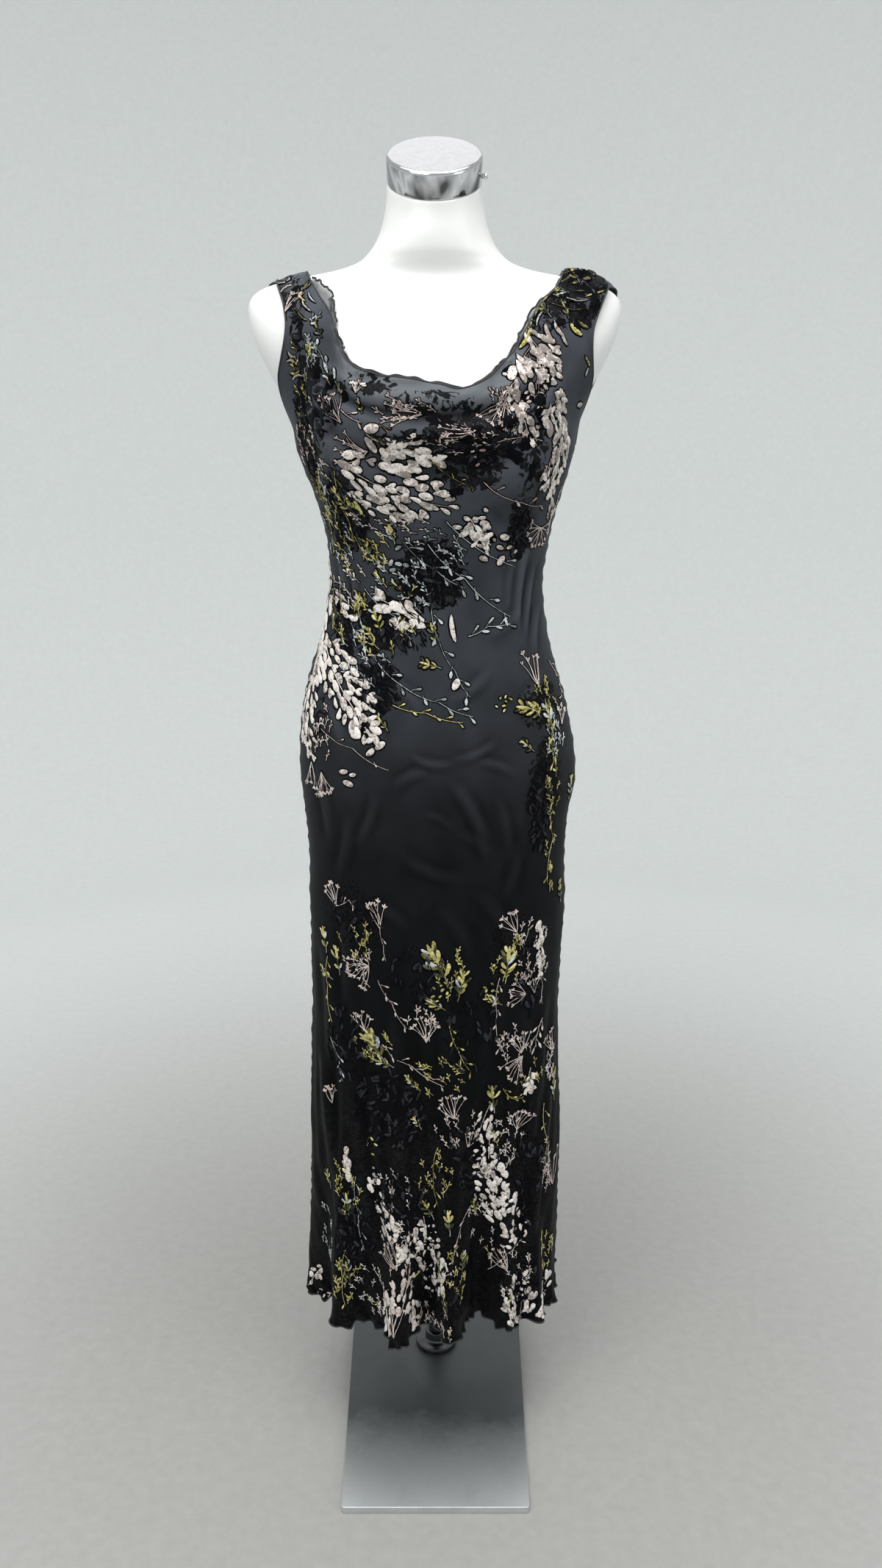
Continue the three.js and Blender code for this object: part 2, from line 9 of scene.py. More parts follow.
import bpy
import numpy as np
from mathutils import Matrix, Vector, noise
from mathutils.bvhtree import BVHTree


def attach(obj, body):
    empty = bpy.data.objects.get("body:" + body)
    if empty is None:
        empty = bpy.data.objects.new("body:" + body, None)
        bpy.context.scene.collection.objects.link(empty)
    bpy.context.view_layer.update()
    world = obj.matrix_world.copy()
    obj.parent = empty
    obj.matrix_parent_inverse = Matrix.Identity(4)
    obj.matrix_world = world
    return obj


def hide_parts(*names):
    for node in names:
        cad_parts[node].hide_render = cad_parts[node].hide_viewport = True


MM = 0.001
RANDOM = np.random.default_rng(20)

# Cloth levels and grids
HEM_HEIGHT = 0.178
UNDERARM_HEIGHT = 1.300
FORM_BOTTOM = 0.772
SECTION_POWER = 2.1
SIDE_CROWDING = 0.2
STRAP_FROM = 0.78
STRAP_STARTS = 0.62
COLUMN_START = 0.36
FOLD_FADE = 2.4
CLEAR_OF_FORM = 0.0034
CLEAR_UNDER_NECK = 0.0066
CLEAR_AT_SHOULDER = 0.0026
FRONT_GRID = {"columns": 260, "skirt_rows": 262, "upper_rows": 104}
BACK_GRID = {"columns": 184, "skirt_rows": 250, "upper_rows": 96}
NECK_STEPS = 2000
CURVE_STEPS = 24
CLEARING_STEP = 0.0005
CLEARING_PASSES = 8

# Shares of a column's upper part over which a clearance or the right shoulder's puff sets in or ends
NECK_CLEARING = (0, 0.5)
SHOULDER_CLEARING = (0.6, 1)
PUFF_START = (0.7, 0.88)
PUFF_END = (0.93, 1)

# The rows where skirt and upper part meet are smoothed together
JOIN_ROWS = 9.0
JOIN_PASSES = 24


def table(columns, rows, unit=1.0, plain=()):
    """Named columns of numbers; unit scales every column that isn't plain."""
    data = np.array(rows, float)
    return {name: data[:, k] * (1.0 if name in plain else unit) for k, name in enumerate(columns)}


# Sections of the form in millimetres: half width, depth before and behind its centre, squareness and tilt
FORM = table(["z", "half", "front", "back", "centre", "power", "tilt"], [
    [772, 130, 70, 102, 2, 2.0, 0], [778, 139, 79, 108, 2, 2.05, 0], [792, 148, 87, 112, 2, 2.1, 0],
    [825, 153, 92, 115, 2, 2.1, 0], [862, 155, 95, 117, 2, 2.1, 0], [905, 158, 97, 118, 2, 2.1, 0],
    [945, 157, 97, 115, 2, 2.1, 0], [985, 151, 94, 108, 2, 2.1, 0], [1030, 141, 89, 99, 2, 2.1, 0],
    [1075, 127, 83, 89, 2, 2.1, 0], [1110, 118, 79, 83, 1, 2.1, 0], [1145, 115, 77, 80, 0, 2.1, 0],
    [1185, 118, 82, 82, 0, 2.1, 0], [1225, 126, 96, 87, 0, 2.1, 0], [1255, 136, 110, 93, 0, 2.1, 0],
    [1283, 148, 119, 99, 0, 2.1, 0], [1312, 156, 118, 104, 0, 2.15, 0], [1345, 169, 107, 105, 2, 2.2, 0],
    [1375, 186, 95, 103, 4, 2.3, 0], [1405, 200, 83, 98, 6, 2.4, 0], [1430, 207, 71, 88, 9, 2.4, 0],
    [1448, 207, 59, 76, 12, 2.35, 0], [1460, 197, 50, 67, 14, 2.3, 0], [1468, 177, 45, 62, 15, 2.25, 0],
    [1474.5, 148, 43, 59, 15, 2.2, 0], [1480.5, 114, 43, 57, 14, 2.1, 0], [1489, 87, 46, 56, 13, 2.0, 1],
    [1500, 73, 49, 55, 12, 2.0, 4], [1514, 63.5, 50, 53, 11.5, 2.0, 9], [1531, 57, 48.5, 50.5, 10, 2.0, 17],
    [1551, 53, 45.5, 46.5, 8.5, 2.0, 26], [1571.7, 51.5, 43.2, 43.2, 7.2, 2.0, 33],
], MM, plain=("power", "tilt"))

# Sections of the gown below the underarm in millimetres: reach to each side, to the front and to the back
GOWN = table(["z", "left", "right", "front", "back"], [
    [175, 167, 164, 98, 112], [267, 169, 165, 98, 113], [332, 168, 165, 98, 114], [395, 167, 165, 98, 116],
    [530, 162, 161, 100, 119], [600, 159, 158, 101, 121], [672, 158, 160, 102, 122],
    [755, 158, 163, 103, 124], [800, 157, 161, 103, 125], [858, 160, 163, 103.5, 126],
    [905, 164.5, 171, 104, 126], [935, 165, 170, 103.5, 123], [970, 163, 164, 102, 118],
    [1006, 157, 155.5, 98, 111], [1045, 147, 143.5, 93, 103], [1080, 135, 134, 88.5, 95],
    [1118, 126.5, 128, 84.5, 88.5], [1150, 123.5, 126.5, 83, 86], [1193, 125.5, 133, 89, 88.5],
    [1221, 132, 139, 99, 92], [1255, 143.5, 149, 116, 98], [1283, 155, 157.5, 125, 104],
    [1300, 159.5, 161.5, 126, 108],
], MM)

# Hanging folds: place across the panel, depth outwards at the hem, half width, and where each dies out
FOLD_COLUMNS = ["u", "depth", "spread", "top"]
FRONT_FOLDS = table(FOLD_COLUMNS, [
    [-0.92, 13, 0.07, 420], [-0.74, -15, 0.06, 520], [-0.57, 27, 0.075, 640], [-0.20, 42, 0.08, 800],
    [-0.04, -19, 0.05, 520], [0.09, 31, 0.062, 700], [0.265, -27, 0.085, 740], [0.43, 21, 0.06, 560],
    [0.62, 24, 0.07, 620], [0.79, 10, 0.06, 480],
], MM, plain=("u", "spread"))
BACK_FOLDS = table(FOLD_COLUMNS, [
    [-0.78, 20, 0.08, 560], [-0.60, -16, 0.07, 500], [-0.42, 26, 0.09, 700], [-0.20, -18, 0.08, 620],
    [0.02, 28, 0.09, 760], [0.22, -20, 0.08, 640], [0.42, 24, 0.08, 680], [0.62, -14, 0.07, 520],
    [0.80, 18, 0.08, 600],
], MM, plain=("u", "spread"))

# Swags of the cowl: distance below the edge at the middle, extra rise at the sides, width, depth and reach
SWAGS = table(["drop", "rise", "width", "depth", "reach"], [
    [13, 0, 11, 5, 0.78], [32, 6, 9, -4.5, 0.72], [57, 26, 18, 8, 0.84], [87, 44, 15, -4, 0.78],
    [116, 66, 22, 6, 0.88],
], MM, plain=("reach",))
COWL_EDGE_HEIGHT = 1.355
COWL_EDGE_RISE = 0.095
SWAG_FULL = 0.55

# Neck edges from strap to strap in millimetres, and the outer end of each shoulder seam
NECK_COLUMNS = ["x", "y", "z"]
FRONT_NECK = table(NECK_COLUMNS, [
    [-142, 12, 1481], [-136, -20, 1470], [-123, -46, 1448], [-110, -63, 1429], [-103, -77, 1406],
    [-96, -89, 1387], [-84, -97, 1374], [-62, -107, 1366], [-30, -116, 1361], [0, -121, 1356],
    [22, -122, 1351], [40, -119, 1354], [56, -111, 1362], [70, -99, 1376], [84, -89, 1391],
    [95, -80, 1409], [104, -68, 1426], [116, -53, 1444], [130, -38, 1457], [138, -18, 1471], [142, 12, 1482],
], MM)
BACK_NECK = table(NECK_COLUMNS, [
    [-142, 12, 1481], [-138, 44, 1472], [-126, 72, 1452], [-104, 94, 1425], [-70, 106, 1405],
    [-35, 110, 1397], [0, 111, 1395], [35, 110, 1397], [70, 106, 1405], [104, 94, 1425],
    [126, 72, 1452], [138, 44, 1472], [142, 12, 1482],
], MM)
SHOULDER_ENDS = {-1: (-0.173, 0.012, 1.4685), 1: (0.190, 0.012, 1.4655)}
SHOULDER_CROWN = 0.003
RIGHT_PUFF = 0.0045

# How each column of cloth arrives at its upper end
REACH_COLUMNS = ["u", "side", "out", "down"]
FRONT_REACH = table(REACH_COLUMNS, [
    [0, 0, 10, 24], [0.4, 0, 14, 32], [0.6, 4, 38, 42], [STRAP_FROM, 3, 84, 34], [1, -34, 117, 63],
], MM, plain=("u",))
BACK_REACH = table(REACH_COLUMNS, [
    [0, 0, 2, 36], [0.4, 0, 6, 40], [0.6, 4, 34, 44], [STRAP_FROM, 3, 92, 36], [1, 22, 104, 62],
], MM, plain=("u",))
LOOSE_RIGHT_BACK = 0.022
FACING_RISE = table(["u", "rise"], [
    [-0.68, 5], [-0.58, 18], [-0.50, 24], [-0.43, 17], [-0.37, 5], [0, 3], [0.28, 3], [0.36, 8],
    [0.44, 9], [0.52, 4], [0.68, 2],
], MM, plain=("u",))


def ease(value, low, high):
    """Rises smoothly from nothing at low to one at high."""
    t = np.clip((value - low) / (high - low), 0, 1)
    return t * t * (3 - 2 * t)


def mix(a, b, t):
    return a + (b - a) * t


def signed_power(value, power):
    return np.sign(value) * np.abs(value) ** power


def reader(rows, key):
    """Reads a table at any values of its key column along a smooth curve through the rows."""
    keys = rows[key]
    last = len(keys) - 1
    before = np.maximum(np.arange(last + 1) - 1, 0)
    after = np.minimum(np.arange(last + 1) + 1, last)
    names = [name for name in rows if name != key]
    span = keys[after] - keys[before]
    slopes = {name: (rows[name][after] - rows[name][before]) / span for name in names}

    def read(values):
        at = np.clip(values, keys[0], keys[last])
        k = np.clip(np.searchsorted(keys, at, side="right") - 1, 0, last - 1)
        span = keys[k + 1] - keys[k]
        t = (at - keys[k]) / span
        t2, t3 = t * t, t * t * t
        result = {}
        for name in names:
            value, slope = rows[name], slopes[name]
            start = (2 * t3 - 3 * t2 + 1) * value[k] + (t3 - 2 * t2 + t) * span * slope[k]
            end = (3 * t2 - 2 * t3) * value[k + 1] + (t3 - t2) * span * slope[k + 1]
            result[name] = start + end
        return result

    return read


form_at = reader(FORM, "z")
gown_at = reader(GOWN, "z")
facing_rise_at = reader(FACING_RISE, "u")


def form_gauge(p):
    """Zero on the form's skin and larger outside it."""
    section = form_at(p[:, 2])
    from_centre = p[:, 1] - section["centre"]
    depth = np.where(from_centre < 0, section["front"], section["back"])
    across = (np.abs(p[:, 0]) / section["half"]) ** section["power"]
    along = (np.abs(from_centre) / depth) ** section["power"]
    return (across + along) ** (1 / section["power"]) - 1


def keep_clear(points, clearance):
    """Moves cloth points outwards until they are at least this far from the form."""
    flat = points.reshape(-1, 3)
    wanted = np.broadcast_to(clearance, points.shape[:-1]).reshape(-1)
    step = CLEARING_STEP
    for _ in range(CLEARING_PASSES):
        gauge = form_gauge(flat)
        gradient = np.stack([form_gauge(flat + step * axis) - gauge for axis in np.eye(3)], 1) / step
        length = np.linalg.norm(gradient, axis=1)
        distance = gauge / length
        near = (distance < wanted) & (flat[:, 2] > FORM_BOTTOM)
        if not near.any():
            break
        move = (wanted - distance)[near, None] * gradient[near] / length[near, None]
        flat[near] += move
    return flat.reshape(points.shape)


def hanging_points(side, folds, u, z):
    """Points below the underarm for a whole grid of u from seam to seam and z."""
    section = gown_at(z)
    angle = (math.pi / 2) * mix(u, u ** 3, SIDE_CROWDING)
    half = np.where(u < 0, section["left"], section["right"])
    depth = section["front"] if side < 0 else section["back"]
    power = 2 / SECTION_POWER
    cosine = np.maximum(np.cos(angle), 0)
    x = half * signed_power(np.sin(angle), power)
    y = side * depth * cosine ** power
    out = np.stack([np.sin(angle) / half, side * cosine / depth], -1)
    out /= np.linalg.norm(out, axis=-1, keepdims=True)
    swell = np.zeros_like(u)
    for fold_u, fold_depth, spread, top in zip(*folds.values()):
        fade = np.clip((top - z) / (top - HEM_HEIGHT), 0, 1) ** FOLD_FADE
        swell += fold_depth * fade * np.exp(-((u - fold_u) / spread) ** 2)
    return np.stack([x + out[..., 0] * swell, y + out[..., 1] * swell, z], -1)


def swag_depth(u, z):
    """How far the cowl's swags stand out at each point."""
    depth = np.zeros_like(z)
    for drop, rise, width, swag, reach in zip(*SWAGS.values()):
        middle = COWL_EDGE_HEIGHT - drop + (COWL_EDGE_RISE + rise) * u * u
        fade = 1 - ease(np.abs(u), reach * SWAG_FULL, reach)
        depth += swag * fade * np.exp(-((z - middle) / width) ** 2)
    return depth


def smooth_curve(points, count):
    """Centripetal curve through the points, as count points at even distances."""
    p = np.array(points)
    p = np.concatenate([[2 * p[0] - p[1]], p, [2 * p[-1] - p[-2]]])
    dense = []
    for a, b, c, d in zip(p, p[1:], p[2:], p[3:]):
        knots = [0.0]
        for first, second in ((a, b), (b, c), (c, d)):
            knots.append(knots[-1] + np.linalg.norm(second - first) ** 0.5)
        t = np.linspace(knots[1], knots[2], CURVE_STEPS, endpoint=False)[:, None]

        def between(first, second, low, high):
            return ((high - t) * first + (t - low) * second) / (high - low)

        one = between(a, b, knots[0], knots[1])
        two = between(b, c, knots[1], knots[2])
        three = between(c, d, knots[2], knots[3])
        dense.append(between(between(one, two, knots[0], knots[2]), between(two, three, knots[1], knots[3]),
                             knots[1], knots[2]))
    dense = np.concatenate(dense + [p[-2:-1]])
    along = np.concatenate([[0], np.cumsum(np.linalg.norm(np.diff(dense, axis=0), axis=1))])
    at = np.linspace(0, along[-1], count)
    return np.stack([np.interp(at, along, dense[:, k]) for k in range(3)], 1)


def upper_edge(neck, us):
    """The upper end of each column: the shoulder seam on the straps and the neck edge between them."""
    fine = smooth_curve(np.stack([neck[name] for name in NECK_COLUMNS], 1), NECK_STEPS + 1)
    ends = np.zeros((len(us), 3))
    for k, u in enumerate(us):
        if abs(u) <= STRAP_FROM:
            ends[k] = fine[round(NECK_STEPS * (u + STRAP_FROM) / (2 * STRAP_FROM))]
            continue
        side = -1 if u < 0 else 1
        t = (abs(u) - STRAP_FROM) / (1 - STRAP_FROM)
        corner = fine[0] if u < 0 else fine[-1]
        ends[k] = mix(corner, np.array(SHOULDER_ENDS[side]), t)
        puff = RIGHT_PUFF if side > 0 else 0.0
        ends[k, 2] += (SHOULDER_CROWN + puff) * math.sin(math.pi * t)
    return ends


def clearance_at(u, v):
    """The cloth's distance from the form along the upper part of the columns."""
    strap = ease(np.abs(u), STRAP_STARTS, STRAP_FROM)
    neck_side = mix(CLEAR_OF_FORM, CLEAR_UNDER_NECK, ease(v, *NECK_CLEARING))
    strap_side = mix(CLEAR_OF_FORM, CLEAR_AT_SHOULDER, ease(v, *SHOULDER_CLEARING))
    puff = np.where(u < 0, 0, RIGHT_PUFF) * ease(v, *PUFF_START) * (1 - ease(v, *PUFF_END))
    return mix(neck_side, strap_side + puff, strap)


def panel_grid(side, grid, folds, neck, reach_rows, loose_right):
    """The smooth outer surface of a panel: rows from the hem to the neck edge, columns from seam to seam."""
    us = np.linspace(-1, 1, grid["columns"] + 1)
    heights = np.linspace(HEM_HEIGHT, UNDERARM_HEIGHT, grid["skirt_rows"] + 1)
    u, z = np.meshgrid(us, heights)
    low = hanging_points(side, folds, u, z)
    if side < 0:
        low[..., 1] -= swag_depth(u, z)
    low = keep_clear(low, CLEAR_OF_FORM)
    low[:, [0, -1], 1] = 0
    start = low[-1]
    end = upper_edge(neck, us)
    reach = reader(reach_rows, "u")(np.abs(us))
    length = np.linalg.norm(end - start, axis=1)
    loose = np.where(us < 0, 0, loose_right) * ease(np.abs(us), STRAP_FROM, 1)
    first = start + np.stack([0 * us, 0 * us, length * COLUMN_START], 1)
    approach = np.stack([np.sign(us) * (reach["side"] + loose), side * reach["out"], -reach["down"]], 1)
    second = end + approach
    v = np.linspace(0, 1, grid["upper_rows"] + 1)[1:, None, None]
    high = (1 - v) ** 3 * start + 3 * (1 - v) ** 2 * v * first + 3 * (1 - v) * v ** 2 * second + v ** 3 * end
    u_high = np.broadcast_to(us, high.shape[:2])
    if side < 0:
        high[..., 1] -= swag_depth(u_high, high[..., 2])
    high = keep_clear(high, clearance_at(u_high, np.broadcast_to(v[..., 0], high.shape[:2])))
    rows = np.concatenate([low, high])
    level = np.concatenate([heights * 0, v[:, 0, 0]])
    return us, rows, level


def grid_normals(rows, side):
    across = np.gradient(rows, axis=1)
    up = np.gradient(rows, axis=0)
    normal = -side * np.cross(across, up)
    return normal / np.maximum(np.linalg.norm(normal, axis=-1, keepdims=True), 1e-12)


def smoothed(rows, weights):
    """One pass of smoothing along the columns, as strong as the weights say."""
    middle = rows.copy()
    middle[1:-1] = (rows[:-2] + 2 * rows[1:-1] + rows[2:]) / 4
    return rows + (middle - rows) * weights


def mesh_object(name, points, faces, material):
    """A smooth-shaded mesh in the scene."""
    mesh = bpy.data.meshes.new(name)
    mesh.from_pydata([tuple(p) for p in points], [], faces)
    mesh.update()
    mesh.polygons.foreach_set("use_smooth", [True] * len(mesh.polygons))
    obj = bpy.data.objects.new(name, mesh)
    bpy.context.scene.collection.objects.link(obj)
    mesh.materials.append(material)
    return obj


def add_attribute(obj, name, values):
    attribute = obj.data.attributes.new(name, "FLOAT", "POINT")
    attribute.data.foreach_set("value", np.asarray(values, np.float32).ravel())


def grid_faces(row_count, column_count, flip=False):
    a = np.arange((row_count - 1) * column_count).reshape(row_count - 1, column_count)[:, :-1].ravel()
    faces = np.stack([a, a + 1, a + column_count + 1, a + column_count], 1)
    return (faces[:, ::-1] if flip else faces).tolist()


def ring_faces(rings, sides):
    """Faces of a closed body whose vertices are rings of equal length, with a cap at each end."""
    faces = []
    for i in range(rings - 1):
        for k in range(sides):
            n = (k + 1) % sides
            faces.append((i * sides + k, i * sides + n, (i + 1) * sides + n, (i + 1) * sides + k))
    faces.append(tuple(range(sides))[::-1])
    faces.append(tuple((rings - 1) * sides + k for k in range(sides)))
    return faces


class Look:
    """A procedural material: short calls that add nodes and return their outputs.

    A range maps low to high onto two other values, and a bump layer is a height, a strength and a distance.
    """

    def __init__(self, name):
        self.material = bpy.data.materials.new(name)
        self.material.use_nodes = True
        self.tree = self.material.node_tree
        self.shader = self.tree.nodes["Principled BSDF"]

    def node(self, kind, inputs=(), **settings):
        made = self.tree.nodes.new("ShaderNode" + kind)
        for key, value in settings.items():
            setattr(made, key, value)
        for key, value in dict(inputs).items():
            self.put(made.inputs[key], value)
        return made

    def put(self, socket, value):
        if isinstance(value, bpy.types.NodeSocket):
            self.tree.links.new(value, socket)
        else:
            socket.default_value = value

    def set(self, **values):
        for key, value in values.items():
            self.put(self.shader.inputs[key.replace("_", " ")], value)

    def place(self, name="Object"):
        return self.node("TexCoord").outputs[name]

    def scaled(self, vector, scale, turn=0.0):
        inputs = {"Vector": vector, "Scale": scale, "Rotation": (0, 0, turn)}
        return self.node("Mapping", inputs).outputs["Vector"]

    def noise(self, vector, scale, detail=2.0, roughness=0.5, warp=0.0):
        inputs = {
            "Vector": vector, "Scale": scale, "Detail": detail, "Roughness": roughness, "Distortion": warp,
        }
        return self.node("TexNoise", inputs).outputs["Fac"]

    def wave(self, vector, scale, warp=0.0, direction="X"):
        inputs = {"Vector": vector, "Scale": scale, "Distortion": warp, "Detail": 1.0}
        return self.node("TexWave", inputs, bands_direction=direction).outputs["Fac"]

    def ramp(self, value, stops):
        made = self.node("ValToRGB", {"Fac": value})
        ramp = made.color_ramp
        while len(ramp.elements) < len(stops):
            ramp.elements.new(0.5)
        for element, (position, colour) in zip(ramp.elements, stops):
            element.position = position
            element.color = (*colour, 1.0)
        return made.outputs["Color"]

    def range(self, value, low, high, to_low, to_high):
        inputs = {"Value": value, "From Min": low, "From Max": high, "To Min": to_low, "To Max": to_high}
        return self.node("MapRange", inputs).outputs["Result"]

    def math(self, operation, a, b):
        made = self.node("Math", {0: a, 1: b}, operation=operation)
        return made.outputs["Value"]

    def blend(self, factor, a, b, kind="MIX"):
        made = self.node("Mix", {"Factor": factor}, data_type="RGBA", blend_type=kind)
        self.put(made.inputs[6], a)
        self.put(made.inputs[7], b)
        return made.outputs[2]

    def attribute(self, name):
        return self.node("Attribute", attribute_name=name).outputs["Fac"]

    def part(self, vector, axis):
        return self.node("SeparateXYZ", {0: vector}).outputs[axis]

    def shaded(self, tone, shade):
        """A colour times a plain number."""
        grey = self.node("CombineXYZ", {0: shade, 1: shade, 2: shade}).outputs["Vector"]
        return self.blend(1.0, tone, grey, "MULTIPLY")

    def weave(self, scale, warp):
        """Two sets of threads that cross the cloth at a slant, because it is cut on the bias."""
        cloth = self.place("UV")
        slants = (math.radians(45), math.radians(-45))
        threads = [self.wave(self.scaled(cloth, (1, 1, 1), slant), scale, warp) for slant in slants]
        return self.math("MULTIPLY", *threads)

    def bump(self, *layers):
        """Chains (height, strength, distance) layers into the shader's normal."""
        normal = None
        for height, strength, distance in layers:
            inputs = {"Height": height, "Strength": strength, "Distance": distance}
            made = self.node("Bump", inputs)
            if normal is not None:
                self.put(made.inputs["Normal"], normal)
            normal = made.outputs["Normal"]
        self.put(self.shader.inputs["Normal"], normal)


# The ground's tone by height, partly its own and partly painted light: dark in the open skirt, greyer where
# the white form shines through, and lighter up the bodice and straps as a painted satin bloom; and other
# single colours of the looks
GROUND_TONE_AND_PAINTED_BLOOM = [(0.40, 0.0010), (0.70, 0.0040), (0.82, 0.0070), (0.89, 0.0120), (0.97, 0.0270), (1.10, 0.0440),
          (1.25, 0.0420), (1.38, 0.0440), (1.47, 0.0620)]
GROUND_TOP = 1.6
GROUND_TINT = (0.92, 1.0, 1.18)
BAND_TONE = (0.125, 0.134, 0.146, 1.0)
BAND_SHARE = 0.8
PILE_RIM = (0.006, 0.006, 0.008, 1.0)
SCUFF_TONE = (0.20, 0.21, 0.215, 1.0)
# Painted shadow of the gown on the steel plate, and the painted highlight towards its front
STEEL_SHADOW = (0.06, 0.063, 0.067, 1.0)
STEEL_PAINTED_HIGHLIGHT = (0.80, 0.83, 0.84, 1.0)


def crepe_look(name):
    """Dull black crepe with a fine slanting weave and tonal velvet patches, whose colour holds a painted
    satin bloom towards the top and painted shading of its ridges and troughs.
    """
    look = Look(name)
    place = look.place()
    painted_relief_shading = look.attribute("painted_relief_shading")
    weave = look.weave(360, 0.4)
    pebble = look.noise(place, scale=900, detail=2.0, roughness=0.6)

    # Painted satin bloom: the ground's tone grows lighter towards the top, as the overhead light would make
    # it
    ground = [(z / GROUND_TOP, tuple(value * part for part in GROUND_TINT)) for z, value in GROUND_TONE_AND_PAINTED_BLOOM]
    tone = look.ramp(look.range(look.part(place, "Z"), 0, GROUND_TOP, 0, 1), ground)
    cloud = look.range(look.noise(place, scale=9, detail=3.0, roughness=0.6), 0.3, 0.7, 0.75, 1.25)
    shade = look.math("MULTIPLY", cloud, look.range(weave, 0, 1, 0.8, 1.35))
    # Painted shading: ridges of the cloth lighter and troughs darker
    tone = look.shaded(tone, look.math("MULTIPLY", shade, look.range(painted_relief_shading, -1, 1, 0.35, 1.75)))
    tone = look.blend(look.math("MULTIPLY", look.attribute("sheer"), BAND_SHARE), tone, BAND_TONE)

    leafy = look.noise(place, scale=72, detail=3.0, roughness=0.62, warp=1.4)
    level = look.range(look.attribute("pile"), 0, 1, -0.76, -0.31)
    patch = look.range(look.math("ADD", leafy, level), -0.012, 0.012, 0.0, 1.0)
    fleck = look.noise(place, scale=330, detail=2.0, roughness=0.6, warp=0.5)
    # Painted highlight: the nap's flecks lighter on ridges and darker in troughs
    fleck = look.math("ADD", fleck, look.range(painted_relief_shading, -1, 1, -0.1, 0.1))
    nap = look.ramp(fleck, [(0.5, (0.0016, 0.0016, 0.0020)), (0.62, (0.0095, 0.0098, 0.0112))])
    tone = look.blend(patch, tone, nap)

    look.set(Base_Color=tone, Roughness=look.range(pebble, 0.3, 0.7, 0.50, 0.64), Sheen_Weight=0.015)
    look.set(Sheen_Roughness=0.5, Sheen_Tint=(0.8, 0.8, 0.86, 1.0), Specular_IOR_Level=0.06)
    look.bump((weave, 0.25, 0.00018), (pebble, 0.35, 0.00022), (patch, 0.7, 0.0006), (fleck, 0.3, 0.0004))
    return look.material


def sheer_look(name):
    """Black chiffon that lets the form show through, thinner where the attribute says."""
    look = Look(name)
    place = look.place()
    weave = look.weave(420, 0.3)
    spots = look.noise(place, scale=95, detail=2.0, roughness=0.5, warp=0.6)
    tone = look.ramp(spots, [(0.4, (0.028, 0.030, 0.032)), (0.62, (0.075, 0.08, 0.083))])
    cover = look.math("ADD", look.attribute("cover"), look.range(weave, 0, 1, -0.08, 0.08))
    look.set(Base_Color=tone, Roughness=0.6, Sheen_Weight=0.15, Sheen_Roughness=0.4, Alpha=cover)
    look.bump((weave, 0.3, 0.0002), (look.noise(place, scale=260, detail=3.0, roughness=0.6), 0.4, 0.0006))
    return look.material


def pile_look(name, dark, middle, light, sheen=0.5, gloss=0.2):
    """Cut velvet pile in one dyed colour, mottled and brushed, darker towards the rim of each shape, and
    darkened towards the top of the bodice as painted shade.
    """
    look = Look(name)
    place = look.place()
    patch = look.noise(place, scale=240, detail=3.0, roughness=0.62, warp=0.8)
    fibre = look.noise(look.scaled(place, (1.0, 1.0, 0.35)), scale=1700, detail=2.0, roughness=0.6)
    tinted = look.math("ADD", patch, look.range(look.attribute("tone"), 0, 1, -0.12, 0.12))
    # Painted shade: darker towards the top of the bodice, to temper the overhead light
    tinted = look.math("ADD", tinted, look.range(look.part(place, "Z"), 1.05, 1.38, 0.03, -0.12))
    tone = look.ramp(tinted, [(0.34, dark), (0.5, middle), (0.68, light)])
    tone = look.shaded(tone, look.range(fibre, 0.3, 0.7, 0.72, 1.12))
    tone = look.blend(look.range(look.attribute("crown"), 0.15, 0.66, 0.85, 0.0), tone, PILE_RIM)
    look.set(Base_Color=tone, Roughness=0.86, Sheen_Weight=sheen, Sheen_Roughness=0.35)
    look.set(Specular_IOR_Level=gloss)
    look.bump((fibre, 0.6, 0.0004), (patch, 0.45, 0.0009))
    return look.material


def thread_look(name):
    """The overlocked thread of a narrow rolled edge."""
    look = Look(name)
    place = look.place()
    turns = look.wave(look.scaled(place, (1, 1, 1), 0.5), 260, 1.5, "DIAGONAL")
    tone = look.ramp(turns, [(0.2, (0.010, 0.010, 0.012)), (0.9, (0.045, 0.046, 0.052))])
    look.set(Base_Color=tone, Roughness=0.7, Sheen_Weight=0.1, Sheen_Roughness=0.4)
    look.bump((turns, 0.7, 0.0004),)
    return look.material


def form_look(name):
    """Smooth white moulding with a satin gloss."""
    look = Look(name)
    place = look.place()
    cloud = look.noise(place, scale=5, detail=3.0, roughness=0.5)
    dimple = look.noise(place, scale=320, detail=2.0, roughness=0.5)
    tone = look.ramp(cloud, [(0.35, (0.72, 0.716, 0.704)), (0.65, (0.77, 0.766, 0.754))])
    look.set(Base_Color=tone, Roughness=look.range(cloud, 0.3, 0.7, 0.26, 0.36), Coat_Weight=0.25)
    look.set(Coat_Roughness=0.18)
    look.bump((dimple, 0.08, 0.0002),)
    return look.material


def chrome_look(name):
    """Polished chrome with a faint haze and smears."""
    look = Look(name)
    place = look.place()
    haze = look.noise(place, scale=22, detail=4.0, roughness=0.6)
    smear = look.noise(look.scaled(place, (60, 60, 6)), scale=3, detail=3.0, roughness=0.6)
    tone = look.ramp(smear, [(0.3, (0.60, 0.605, 0.61)), (0.7, (0.68, 0.685, 0.69))])
    look.set(Base_Color=tone, Metallic=1.0, Roughness=look.range(haze, 0.3, 0.75, 0.04, 0.10))
    look.bump((look.noise(place, scale=14, detail=2.0, roughness=0.5), 0.02, 0.0008),)
    return look.material


